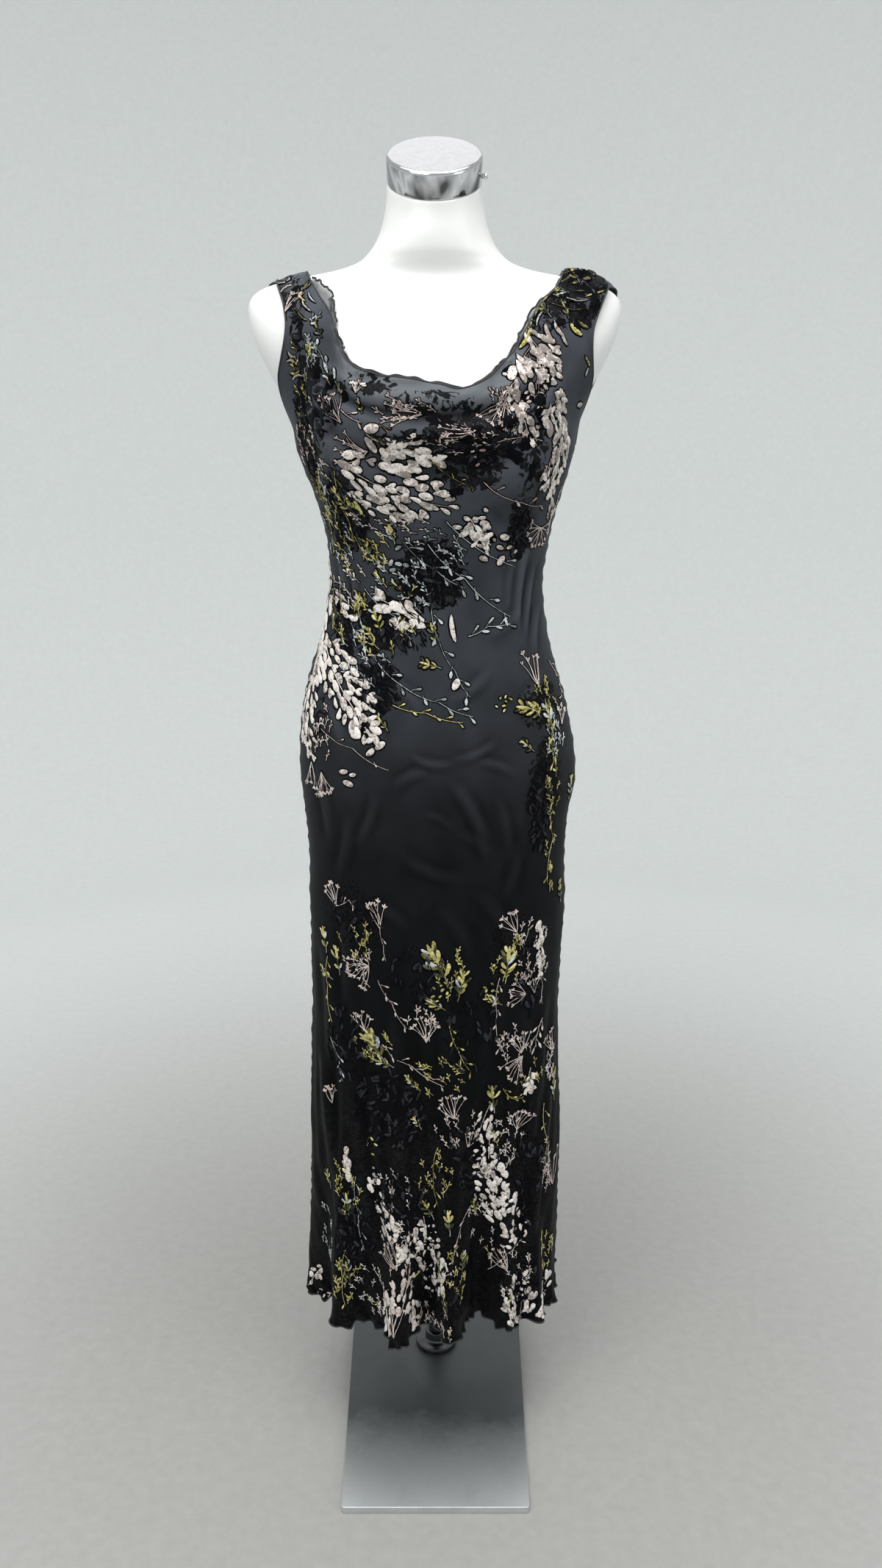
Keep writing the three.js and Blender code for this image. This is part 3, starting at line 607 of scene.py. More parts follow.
def satin_chrome_painted_shade_look(name):
    """Duller chrome of the turned pole parts under the skirt, its colour darkened further as painted shade
    from the skirt above.
    """
    look = Look(name)
    place = look.place()
    ring = look.noise(look.scaled(place, (2, 2, 260)), scale=2.0, detail=3.0, roughness=0.6)
    haze = look.noise(place, scale=30, detail=3.0, roughness=0.6)
    # Painted shade: the chrome's colour is kept very dark for the skirt's shadow over it
    tone = look.ramp(haze, [(0.3, (0.085, 0.086, 0.09)), (0.7, (0.13, 0.131, 0.135))])
    look.set(Base_Color=tone, Metallic=1.0, Roughness=look.range(haze, 0.3, 0.7, 0.22, 0.32))
    look.bump((ring, 0.06, 0.0002),)
    return look.material


def chrome_band_painted_reflection_look(name):
    """Polished band whose colour holds dark and light upright streaks as a painted reflection."""
    look = Look(name)
    place = look.place()
    painted_reflection_streak = look.noise(look.scaled(place, (26, 26, 1.2)), scale=1.6, detail=2.0, roughness=0.4)
    fine = look.noise(look.scaled(place, (120, 120, 4)), scale=3, detail=3.0, roughness=0.6)
    # Painted reflection: dark and light upright streaks in the band's colour
    tone = look.ramp(painted_reflection_streak, [
        (0.36, (0.10, 0.10, 0.105)), (0.44, (0.42, 0.42, 0.43)),
        (0.54, (0.74, 0.74, 0.75)), (0.62, (0.30, 0.30, 0.31)),
    ])
    look.set(Base_Color=tone, Metallic=1.0, Roughness=look.range(fine, 0.3, 0.7, 0.05, 0.12))
    look.bump((fine, 0.03, 0.0003),)
    return look.material


def steel_look(name):
    """Satin steel, brushed from side to side, with faint scuffs, darkened as painted shadow of the gown and
    lighter towards the front as a painted highlight.
    """
    look = Look(name)
    place = look.place()
    brush = look.noise(look.scaled(place, (14, 900, 900)), scale=1.0, detail=3.0, roughness=0.65)
    scuff = look.noise(place, scale=16, detail=5.0, roughness=0.65)
    tone = look.ramp(brush, [(0.3, (0.235, 0.25, 0.258)), (0.7, (0.30, 0.318, 0.326))])
    tone = look.blend(look.range(scuff, 0.45, 0.7, 0.0, 0.3), tone, SCUFF_TONE)
    # Painted shadow and highlight: the plate is dark under the gown and lighter towards its front
    depth = look.math("ADD", look.part(place, "Y"), look.range(scuff, 0.3, 0.7, -0.02, 0.02))
    painted_front_light = look.range(depth, -0.22, -0.06, 0.8, 0.0)
    tone = look.blend(painted_front_light, look.blend(0.72, tone, STEEL_SHADOW), STEEL_PAINTED_HIGHLIGHT)
    look.set(Base_Color=tone, Metallic=0.75, Roughness=look.range(scuff, 0.3, 0.7, 0.34, 0.46))
    look.bump((brush, 0.12, 0.0002),)
    return look.material


# Creases of the cloth in millimetres from the panel's middle line: both ends, bow, half width and height
CREASE_COLUMNS = ["s0", "z0", "s1", "z1", "bow", "width", "height"]
FRONT_CREASES = table(CREASE_COLUMNS, [
    [-28, 955, 22, 946, -5, 4, 1.5], [22, 950, 72, 971, -4, 4, 1.3], [44, 948, 96, 930, 4, 4, 1.1],
    [-48, 918, -8, 938, 3, 5, 1.2], [-70, 908, -98, 842, 6, 5, 1.3], [-104, 880, -122, 800, 5, 6, 1.4],
    [18, 925, 62, 825, 9, 6, 1.7], [72, 905, 88, 820, 5, 5, 1.1], [-42, 838, 32, 806, -7, 6, 1.3],
    [26, 862, 60, 836, 5, 5, 1.1], [100, 846, 84, 776, 4, 6, 1.3], [-18, 888, 24, 868, 4, 4, 0.9],
    [-84, 772, -30, 742, 6, 6, 1.2], [-118, 760, -112, 640, 5, 7, 1.9], [48, 790, 96, 700, 9, 7, 1.3],
    [4, 772, 44, 700, 7, 7, 1.0], [100, 1090, 112, 1196, 5, 5, 1.6], [112, 1082, 126, 1170, 4, 4, 1.5],
    [88, 1110, 94, 1182, 3, 4, 0.9], [124, 1060, 138, 1120, 5, 5, 1.3],
    [-112, 1090, -120, 1180, -4, 5, 1.4], [-126, 1074, -136, 1150, -4, 4, 1.2],
    [-96, 1120, -102, 1170, -3, 4, 0.8], [-60, 1040, -16, 1012, 4, 5, 1.0],
    [16, 1018, 64, 1050, -4, 5, 1.0], [56, 1088, 104, 1118, -4, 5, 0.9], [-86, 1000, -58, 962, 4, 5, 1.0],
    [96, 1010, 138, 1046, -4, 5, 1.1], [-140, 1012, -110, 962, 5, 6, 1.2],
    [-150, 930, -132, 840, 4, 6, 1.3], [132, 930, 122, 850, -4, 6, 1.3],
    [-136, 1180, -112, 1236, -5, 6, 1.3], [-108, 1196, -70, 1238, -6, 6, 1.2],
    [120, 1196, 96, 1240, 5, 6, 1.2], [80, 1200, 50, 1232, 4, 6, 0.8], [-64, 1196, -30, 1222, -4, 5, 0.8],
    [150, 1230, 128, 1290, 6, 6, 1.3], [-158, 1234, -132, 1296, -7, 6, 1.4],
    [-150, 1300, -118, 1352, -7, 6, 1.5], [156, 1300, 126, 1350, 6, 6, 1.4],
    [-148, 700, -142, 520, 4, 8, 2.4], [-128, 640, -124, 440, 4, 8, 2.6],
    [-104, 600, -106, 420, -4, 8, 2.0], [-160, 560, -156, 380, 4, 8, 2.4], [-84, 520, -80, 380, 3, 7, 1.5],
    [150, 640, 146, 470, -4, 8, 2.0], [128, 580, 132, 420, 3, 8, 1.7], [104, 560, 100, 430, -3, 7, 1.2],
    [162, 520, 158, 380, -3, 8, 2.0], [-56, 640, -48, 540, 5, 7, 1.1], [-22, 660, -12, 560, 4, 7, 1.0],
    [20, 640, 14, 540, -4, 7, 1.1], [54, 640, 62, 530, 4, 7, 1.1], [84, 680, 78, 580, -4, 7, 1.1],
    [-40, 500, -44, 400, -3, 6, 1.1], [0, 480, 4, 380, 3, 6, 1.0], [36, 500, 30, 400, -3, 6, 1.0],
    [70, 480, 74, 390, 3, 6, 1.1], [-70, 420, -74, 320, -3, 6, 1.2], [-112, 400, -108, 290, 3, 7, 1.6],
    [-142, 400, -146, 280, -3, 7, 1.8], [118, 400, 114, 300, -3, 7, 1.4], [146, 400, 150, 280, 3, 7, 1.6],
    [-16, 360, -20, 270, -3, 6, 1.1], [52, 360, 56, 270, 3, 6, 1.1], [92, 340, 88, 250, -3, 6, 1.1],
    [30, 300, 34, 230, 2, 5, 1.0], [-52, 300, -48, 230, 2, 5, 1.0], [-92, 290, -96, 220, -2, 6, 1.1],
], MM)
BACK_CREASES = table(CREASE_COLUMNS, [
    [-30, 1090, 30, 1082, -6, 5, 1.2], [-62, 1122, -10, 1108, -5, 5, 1.2], [8, 1112, 62, 1126, -5, 5, 1.1],
    [-84, 1060, -40, 1040, -5, 6, 1.1], [36, 1042, 86, 1062, -5, 6, 1.2], [-100, 1010, -60, 940, 7, 7, 1.3],
    [104, 1016, 66, 946, -7, 7, 1.3], [-48, 920, -12, 842, 6, 6, 1.2], [40, 912, 14, 836, -5, 6, 1.2],
    [-120, 900, -100, 820, 5, 7, 1.4], [124, 900, 108, 812, -5, 7, 1.4], [-76, 800, -60, 720, 4, 6, 1.1],
    [70, 802, 78, 716, 4, 6, 1.1], [-140, 760, -132, 600, 4, 8, 2.0], [142, 760, 136, 600, -4, 8, 2.0],
    [-20, 760, -12, 650, 4, 7, 1.1], [22, 740, 26, 640, 3, 7, 1.1], [-104, 640, -98, 500, 4, 7, 1.6],
    [102, 640, 98, 500, -4, 7, 1.6], [-62, 600, -58, 480, 3, 7, 1.2], [60, 600, 66, 480, 3, 7, 1.2],
    [-150, 520, -146, 380, 3, 8, 2.0], [152, 520, 148, 380, -3, 8, 2.0], [-86, 440, -82, 330, 3, 6, 1.2],
    [-30, 450, -34, 340, -3, 6, 1.2], [12, 430, 16, 320, 3, 6, 1.2], [88, 440, 84, 330, -3, 6, 1.2],
    [-128, 360, -124, 260, 3, 7, 1.4], [126, 360, 130, 260, 3, 7, 1.4], [-110, 1200, -84, 1270, -6, 6, 1.2],
    [112, 1200, 84, 1272, 6, 6, 1.2], [-130, 1280, -96, 1340, -8, 7, 1.3], [128, 1284, 98, 1340, 8, 7, 1.3],
    [-60, 1180, -52, 1260, -4, 6, 0.9], [58, 1184, 50, 1262, 4, 6, 0.9], [-12, 1330, 26, 1336, -6, 6, 1.1],
    [-70, 1350, 62, 1352, -10, 7, 1.0],
], MM)

# How strongly the creases stand out; the relief at which their painted shading is full; and the share of the
# swags' depth that goes into the painted shading
CREASE_STRENGTH = 1.5
FULL_SHADING_RELIEF = 0.0022
SWAG_SHADE = 0.62

# Soft crinkle of the skirt, pucker of the side seams and frill of the rolled hem
CRINKLE = {"height": 0.0022, "from": 0.86, "full": 0.42, "across": 62.0, "along": 11.0}
RIPPLE = {"height": 0.0009, "across": 34.0, "along": 24.0}
NECK_RUFFLE = {"height": 0.0030, "across": 44.0, "along": 110.0, "from": 0.70}
RUFFLE_MIDDLE = (0.40, 0.60)
SEAM = {"depth": 0.0011, "width": 0.0028, "pitch": 0.021, "pucker": 0.0009, "sway": 37, "beside": 0.006,
        "spread": 0.005, "held": 0.004}
FRILL = {"height": 0.0042, "reach": 0.020, "pitch": 0.0215, "lift": 0.0032, "sway": 1.9, "sway_rate": 31,
         "jitter": 1.2, "jitter_rate": 73}

# A crease has a trough at each side of its ridge, and a gather has one above it
CREASE = {"trough": 0.55, "place": 1.9, "width": 0.9, "taper": 0.8, "margin": 0.1}
GATHER = {"trough": 0.5, "place": 1.7}


def noise_values(points, scales, seed):
    """Smooth noise between -1 and 1 at each point, stretched by the scales."""
    scaled = points * np.array(scales) + seed
    return np.array([noise.noise(Vector(p)) for p in scaled.tolist()])


def crease_height(s, z, creases):
    """Ridges with a trough at each side, fading out towards both ends."""
    height = np.zeros_like(s)
    for s0, z0, s1, z1, bow, width, tall in zip(*creases.values()):
        along = np.array([s1 - s0, z1 - z0])
        length = np.hypot(*along)
        along /= length
        t = ((s - s0) * along[0] + (z - z0) * along[1]) / length
        near = (t > -CREASE["margin"]) & (t < 1 + CREASE["margin"])
        off = -(s - s0) * along[1] + (z - z0) * along[0] - bow * 4 * t * (1 - t)
        x = off / width
        trough = np.exp(-((np.abs(x) - CREASE["place"]) / CREASE["width"]) ** 2)
        taper = np.sin(np.pi * np.clip(t, 0, 1)) ** CREASE["taper"]
        height += np.where(near, tall * (np.exp(-x * x) - CREASE["trough"] * trough) * taper, 0)
    return height


# Gathers of the straps below the shoulder seam: place across and up, slant, half widths both ways, height
STRAP_GATHERS = table(["u", "v", "slant", "across", "up", "height"], [
    [0.90, 0.955, 0.10, 0.15, 0.013, 3.6], [0.86, 0.905, 0.14, 0.13, 0.012, 3.2],
    [0.93, 0.850, -0.12, 0.11, 0.014, 2.8], [0.84, 0.790, 0.20, 0.10, 0.015, 1.5],
    [0.92, 0.730, 0.16, 0.09, 0.016, 1.2], [-0.92, 0.950, 0.10, 0.09, 0.014, 2.2],
    [-0.86, 0.890, -0.16, 0.09, 0.015, 1.7], [-0.93, 0.820, 0.22, 0.08, 0.018, 1.4],
    [-0.82, 0.740, 0.30, 0.07, 0.018, 1.0],
], MM, plain=("u", "v", "slant", "across", "up"))


def gather_height(us, level):
    """Gathers that cross the straps below the shoulder seams."""
    u, v = us[None, :], level[:, None]
    height = np.zeros((len(level), len(us)))
    for at_u, at_v, slant, across, up, tall in zip(*STRAP_GATHERS.values()):
        off = (v - at_v - slant * (u - at_u)) / up
        profile = np.exp(-off * off) - GATHER["trough"] * np.exp(-(off - GATHER["place"]) ** 2)
        height += tall * np.exp(-((u - at_u) / across) ** 2) * profile
    return height


def joined_smoothly(side, rows, level):
    """Smooths the line along which the skirt's rows meet the upper ones."""
    join = (FRONT_GRID if side < 0 else BACK_GRID)["skirt_rows"]
    weights = np.exp(-((np.arange(len(rows)) - join) / JOIN_ROWS) ** 2)[:, None, None]
    for _ in range(JOIN_PASSES):
        rows = smoothed(rows, weights)
    rows[:, [0, -1], 1] = np.where(level[:, None] > 0, rows[:, [0, -1], 1], 0)
    return rows


def distance_across(rows):
    """How far each point lies from the panel's middle line along its own row."""
    steps = np.linalg.norm(np.diff(rows, axis=1), axis=2)
    s = np.concatenate([np.zeros((len(rows), 1)), np.cumsum(steps, 1)], 1)
    return s - s[:, [rows.shape[1] // 2]]


def crumple_height(us, s, z, level, seed):
    """Crinkle of the skirt, ripple of all the cloth and ruffle of the neck edge."""
    flat = np.stack([s.ravel(), z.ravel(), np.full(s.size, float(seed))], 1)

    def pattern(values, shift):
        scales = (values["across"], values["along"], 1.0)
        return values["height"] * noise_values(flat, scales, seed + shift).reshape(s.shape)

    skirt = 1 - ease(z, CRINKLE["full"], CRINKLE["from"])
    middle = 1 - ease(np.abs(us), *RUFFLE_MIDDLE)
    neck = pattern(NECK_RUFFLE, 80) * ease(level, NECK_RUFFLE["from"], 1)[:, None] * middle
    return pattern(CRINKLE, 0) * skirt + pattern(RIPPLE, 40), neck


def seam_height(edge, z, below):
    """The groove along a side seam and the pucker beside it, by the distance from the seam."""
    pucker = SEAM["pucker"] * np.sin(2 * np.pi * z / SEAM["pitch"] + 2 * np.sin(z * SEAM["sway"]))
    groove = np.exp(-(edge / SEAM["width"]) ** 2) * -SEAM["depth"]
    beside = np.exp(-((edge - SEAM["beside"]) / SEAM["spread"]) ** 2) * pucker
    return np.where(below, groove + beside, 0)


def finish_panel(side, us, rows, level, creases, seed):
    """Adds the creases, crinkle, seam pucker and frilled hem to a smooth panel, and returns their relief for
    painted shading.
    """
    rows = joined_smoothly(side, rows, level)
    normals = grid_normals(rows, side)
    s = distance_across(rows)
    z = rows[..., 2]
    below = (level == 0)[:, None]
    edge = np.minimum(s - s[:, [0]], s[:, [-1]] - s)
    height = CREASE_STRENGTH * crease_height(s, z, creases) + gather_height(us, level)
    crumple, ruffle = crumple_height(us, s, z, level, seed)
    height += crumple
    height += ruffle
    height += seam_height(edge, z, below)
    fall = np.clip(1 - (z - HEM_HEIGHT) / FRILL["reach"], 0, 1) ** 2
    phase = 2 * np.pi * s / FRILL["pitch"] + FRILL["sway"] * np.sin(s * FRILL["sway_rate"] + seed)
    phase += FRILL["jitter"] * np.sin(s * FRILL["jitter_rate"])
    height += FRILL["height"] * fall * np.sin(phase)
    rows += normals * (height * np.clip(edge / SEAM["held"], 0, 1))[..., None]
    rows[..., 2] += FRILL["lift"] * fall * np.sin(phase * 0.5 + 1.0)
    # The cowl's swags add painted shade and painted highlight to the colour only, not to the cloth's shape
    if side < 0:
        height = height + SWAG_SHADE * swag_depth(np.broadcast_to(us, z.shape), z)
    return rows, s, np.clip(height / FULL_SHADING_RELIEF, -1, 1)


def cloth_piece(name, rows, s, side, material, attributes):
    """A grid of cloth as a mesh, with its flat coordinates in metres as its map."""
    row_count, column_count = rows.shape[:2]
    obj = mesh_object(name, rows.reshape(-1, 3), grid_faces(row_count, column_count, side > 0), material)
    t = np.concatenate([[0], np.cumsum(np.linalg.norm(np.diff(rows[:, column_count // 2], axis=0), axis=1))])
    flat = np.stack([s, np.broadcast_to(t[:, None], s.shape)], -1).reshape(-1, 2)
    loops = np.zeros(len(obj.data.loops), np.int32)
    obj.data.loops.foreach_get("vertex_index", loops)
    layer = obj.data.uv_layers.new(name="cloth")
    layer.data.foreach_set("uv", flat[loops].astype(np.float32).ravel())
    for key, values in attributes.items():
        add_attribute(obj, key, values)
    return obj


def tube(points, radius, sides=6):
    """Vertices and faces of a thin tube along points."""
    p = np.array(points, float)
    tangent = np.gradient(p, axis=0)
    tangent /= np.maximum(np.linalg.norm(tangent, axis=1, keepdims=True), 1e-12)
    guide = np.array([0.0, 0.0, 1.0]) if abs(tangent[0, 2]) < 0.9 else np.array([1.0, 0.0, 0.0])
    side = np.cross(tangent[0], guide)
    side /= np.linalg.norm(side)
    verts = []
    for point, along in zip(p, tangent):
        side = side - along * side.dot(along)
        side /= np.linalg.norm(side)
        up = np.cross(along, side)
        for k in range(sides):
            angle = 2 * math.pi * k / sides
            verts.append(point + radius * (math.cos(angle) * side + math.sin(angle) * up))
    return verts, ring_faces(len(p), sides)


def joined(parts):
    """Joins (vertices, faces) parts into one."""
    verts, faces = [], []
    for part_verts, part_faces in parts:
        base = len(verts)
        verts.extend(part_verts)
        faces.extend(tuple(base + k for k in face) for face in part_faces)
    return verts, faces


def rolled_edges(name, lines, radius, material):
    """The narrow rolled edge of the cloth along each line."""
    verts, faces = joined([tube(line, radius) for line in lines])
    return mesh_object(name, verts, faces, material)


# Points around the form and up it
FORM_GRID = {"around": 112, "levels": 130}


def form_piece(material):
    """The bust and its neck as one smooth skin through the form's sections."""
    around, levels = FORM_GRID["around"], FORM_GRID["levels"]
    share = np.linspace(0, 1, levels)
    keys = FORM["z"]
    z = np.interp(share * (len(keys) - 1), np.arange(len(keys)), keys)
    section = form_at(z)
    angle = np.linspace(0, 2 * np.pi, around, endpoint=False)[None, :]
    power = 2 / section["power"][:, None]
    sine, cosine = np.sin(angle), np.cos(angle)
    depth = np.where(sine < 0, section["front"][:, None], section["back"][:, None])
    from_centre = depth * signed_power(sine, power)
    x = section["half"][:, None] * signed_power(cosine, power)
    lift = from_centre * np.tan(np.radians(section["tilt"]))[:, None]
    points = np.stack([x, section["centre"][:, None] + from_centre, z[:, None] + lift], -1)
    return mesh_object("form_skin", points.reshape(-1, 3), ring_faces(levels, around), material)


def lathe(profile, sides):
    """A body turned about Z from radius and height pairs that start and end on the axis or meet again."""
    verts, faces = [], []
    rings = []
    for radius, height in profile:
        if radius == 0:
            rings.append([len(verts)])
            verts.append((0.0, 0.0, height))
            continue
        rings.append(list(range(len(verts), len(verts) + sides)))
        for k in range(sides):
            angle = 2 * math.pi * k / sides
            verts.append((radius * math.cos(angle), radius * math.sin(angle), height))
    for low, high in zip(rings, rings[1:]):
        for k in range(sides):
            n = (k + 1) % sides
            if len(low) == 1:
                faces.append((low[0], high[n], high[k]))
            elif len(high) == 1:
                faces.append((low[k], low[n], high[0]))
            else:
                faces.append((low[k], low[n], high[n], high[k]))
    return verts, faces


# Neck cap: its own size, edge rounding and the tilt of the neck
CAP = {"radius": 0.052, "height": 0.028, "edge": 0.005, "lip": 0.0012, "crown": 0.0006, "centre_y": -0.008,
       "top_z": 1.5955, "tilt": 33}
CAP_BAND_TOP = -0.7 * CAP["edge"]
CROWN_SHARES = (0.86, 0.7, 0.5, 0.3, 0.12)
CAP_SCREW = {"radius": 0.003, "length": 0.006, "angle": -12, "drop": 0.019, "slot": 0.0007,
             "slot_depth": 0.001, "dome": 0.0012, "shank": 0.8, "shank_end": 0.0022, "collar": 0.0026,
             "flat": 0.3, "gap": 0.0003}


def neck_frame():
    """The neck's own frame as a rotation and an origin."""
    turn = math.radians(CAP["tilt"])
    rotation = np.array([
        [1, 0, 0],
        [0, math.cos(turn), -math.sin(turn)],
        [0, math.sin(turn), math.cos(turn)],
    ])
    return rotation, np.array([0.0, CAP["centre_y"], CAP["top_z"]])


def cap_piece(material, band_material):
    """The neck cap with a polished top, a rounded edge and a band around its side."""
    radius, height, edge, lip = CAP["radius"], CAP["height"], CAP["edge"], CAP["lip"]
    profile = [(0, -height), (radius - 2 * lip, -height)]
    for k in range(5):
        angle = math.pi / 2 * (k / 4 - 1)
        profile.append((radius - lip + lip * math.cos(angle), lip - height + lip * math.sin(angle)))
    for k in range(13):
        angle = math.pi / 2 * (k / 12)
        profile.append((radius - edge + edge * math.cos(angle), edge * math.sin(angle) - edge))
    for share in CROWN_SHARES:
        profile.append((share * (radius - edge), CAP["crown"] * (1 - share ** 2)))
    profile.append((0, CAP["crown"]))
    verts, faces = lathe(profile, 128)
    rotation, origin = neck_frame()
    cap = mesh_object("neck_cap_shell", np.array(verts) @ rotation.T + origin, faces, material)
    cap.data.materials.append(band_material)
    for polygon, face in zip(cap.data.polygons, faces):
        if max(verts[k][2] for k in face) < CAP_BAND_TOP:
            polygon.material_index = 1
    return cap


def screw_piece(material):
    """A small slotted grub screw in the side of the neck cap."""
    radius, length, dome = CAP_SCREW["radius"], CAP_SCREW["length"], CAP_SCREW["dome"]
    shank = radius * CAP_SCREW["shank"]
    profile = [(0, 0), (shank, 0), (shank, CAP_SCREW["shank_end"]), (radius, CAP_SCREW["collar"]),
               (radius, length - dome)]
    for k in range(1, 6):
        angle = math.pi / 2 * (k / 6)
        profile.append((radius - dome + dome * math.cos(angle), length - dome + dome * math.sin(angle)))
    profile.append((radius * CAP_SCREW["flat"], length))
    profile.append((0, length))
    verts, faces = lathe(profile, 48)
    points = np.array(verts)
    in_slot = (np.abs(points[:, 1]) < CAP_SCREW["slot"]) & (points[:, 2] > length - dome)
    points[in_slot, 2] -= CAP_SCREW["slot_depth"]
    turn = math.radians(CAP_SCREW["angle"])
    out = np.array([math.cos(turn), math.sin(turn), 0])
    side = np.array([-math.sin(turn), math.cos(turn), 0])
    axes = np.stack([side, np.array([0, 0, 1.0]), out], 1)
    base = out * (CAP["radius"] + CAP_SCREW["gap"]) - np.array([0, 0, CAP_SCREW["drop"]])
    rotation, origin = neck_frame()
    placed = (points @ axes.T + base) @ rotation.T + origin
    return mesh_object("neck_screw", placed, faces, material)


# The sheer facing: half its reach in u, its rows inside the cowl and above it, its gap to the front, the rows
# over which its edge starts to waver, and its cover; the waves of the edge as size, rate and shift; the rows
# around the cowl's edge between which it thins; and at each side how much thinner it gets, from which u to
# which
FACING = {"half": 0.66, "rows": 44, "rows_above": 12, "gap": 0.0022, "leaning": 12, "cover": 0.97}
FACING_WAVES = ((0.0011, 41, 0), (0.0008, 97, 1))
FACING_THINS = (-6, 2)
FACING_THIN = {"left": (0.30, 0.36, 0.5), "right": (0.22, 0.3, 0.42)}


def facing_piece(us, rows, s, normals, material):
    """The sheer band inside the cowl's edge, standing above it where it shows."""
    kept = np.abs(us) <= FACING["half"]
    depth, rows_above = FACING["rows"], FACING["rows_above"]
    u = us[kept]
    inside = rows[-depth:, kept] - normals[-depth:, kept] * FACING["gap"]
    up = inside[-1] - inside[-4]
    up /= np.linalg.norm(up, axis=1, keepdims=True)
    rise = facing_rise_at(u)["rise"]
    extra = [inside[-1] + up * (rise * k / rows_above)[:, None] for k in range(1, rows_above + 1)]
    grid = np.concatenate([inside, np.array(extra)])
    row = np.arange(len(grid))
    waver = sum(size * np.sin(u * rate + shift) for size, rate, shift in FACING_WAVES)
    lean = ease(row, depth - FACING["leaning"], len(grid))[:, None, None]
    grid += normals[-1, kept][None] * (waver[None, :, None] * lean)
    above = ease(row, depth + FACING_THINS[0], depth + FACING_THINS[1])[:, None] * np.ones(kept.sum())
    left, right = FACING_THIN["left"], FACING_THIN["right"]
    thin = left[0] * ease(-u, *left[1:]) + right[0] * ease(u, *right[1:])
    cover = np.clip(FACING["cover"] - above * thin[None, :], 0, 1)
    flat = s[-1:, kept].repeat(len(grid), 0)
    obj = cloth_piece("cowl_facing_sheer", grid, flat, -1, material, {"cover": cover})
    return obj, grid[-1]


# Sections of a raised strip as pairs of place across and share of its height
CORE_SECTION = ((-1.0, -0.3), (-0.74, 0.68), (0.0, 1.0), (0.74, 0.68), (1.0, -0.3))
THIN_SECTION = ((-1.0, -0.3), (-0.45, 0.85), (0.45, 0.85), (1.0, -0.3))
EDGE_SECTION = ((-1.0, -0.6), (-0.84, 1.0), (0.84, 1.0), (1.0, -0.6))
CORE_HEIGHT = 0.00095
EDGE_HEIGHT = 0.00045
EDGE_MARGIN = 0.0017

# A strip is left out where it would leap across an opening: how far its steps may grow on the cloth
LEAP_RATIO = 1.5
LEAP = 0.0012

# Half widths of the thin lines, and how far the black margin shows around each kind of shape
STEMS = {"stem": 0.0006, "ray": 0.0008, "axis": 0.0009, "neck": 0.0005}
MARGINS = {"stem": 0.0012, "ray": 0.0016, "bud": 0.0014, "lobe": 0.0021, "vein": 0.0013, "sprig": 0.0015,
           "shade": 0.0016}
BUD_LENGTH = (0.0036, 0.0062)
BUD_WIDTH = (0.0011, 0.0018)

# Length of one step along a stem and over the cloth, the lengths from which a petal gets more frames, the
# smallest share of a strip's width and the shortest stroke
STEM_STEP = 0.0045
WALK_STEP = 0.006
PETAL_STEPS = (0.006, 0.011)
THINNEST = 0.06
SHORTEST = 0.0008

# Steps by which a pixel beside the gown moves towards its middle until its ray meets the cloth, and how far
# behind the gown the rays for the back start
PLACE_STEPS = 20
PLACE_SHARE = 0.012
BEHIND = 0.6


# Shares of a strip's width along it: q counts its frames from 0 to 1, and t is the place along its length
def round_shape(q, t):
    return math.sin(math.pi * q)


def petal_shape(q, t):
    """Narrow where it grows and broad towards its end."""
    return math.sin(math.pi * q) * (0.42 + 0.72 * t)


def leaf_shape(q, t):
    return math.sin(math.pi * q) ** 1.6


def stem_shape(q, t):
    return 1.0 - 0.45 * q


BLOB_SHAPES = (round_shape, petal_shape, round_shape)
LOBE_COLOURS = ["olive", "olive", "olive", "moss", "moss", "ice"]

# Turn and size of the leaves that make up a blot, and place and lean of a sprig's buds
BLOT_LEAVES = ((0, 1.0), (34, 0.8), (-30, 0.86), (62, 0.5), (-58, 0.55))
SPRIG_BUDS = ((0.45, 38), (0.7, -40), (1.0, 0))


def sight(across, up):
    """The direction from the camera through one of the photograph's pixels."""
    turn = bpy.context.scene.camera.rotation_euler.to_matrix()
    return turn @ Vector((across - PICTURE["width"] / 2, PICTURE["height"] / 2 - up, -PICTURE["focal"]))


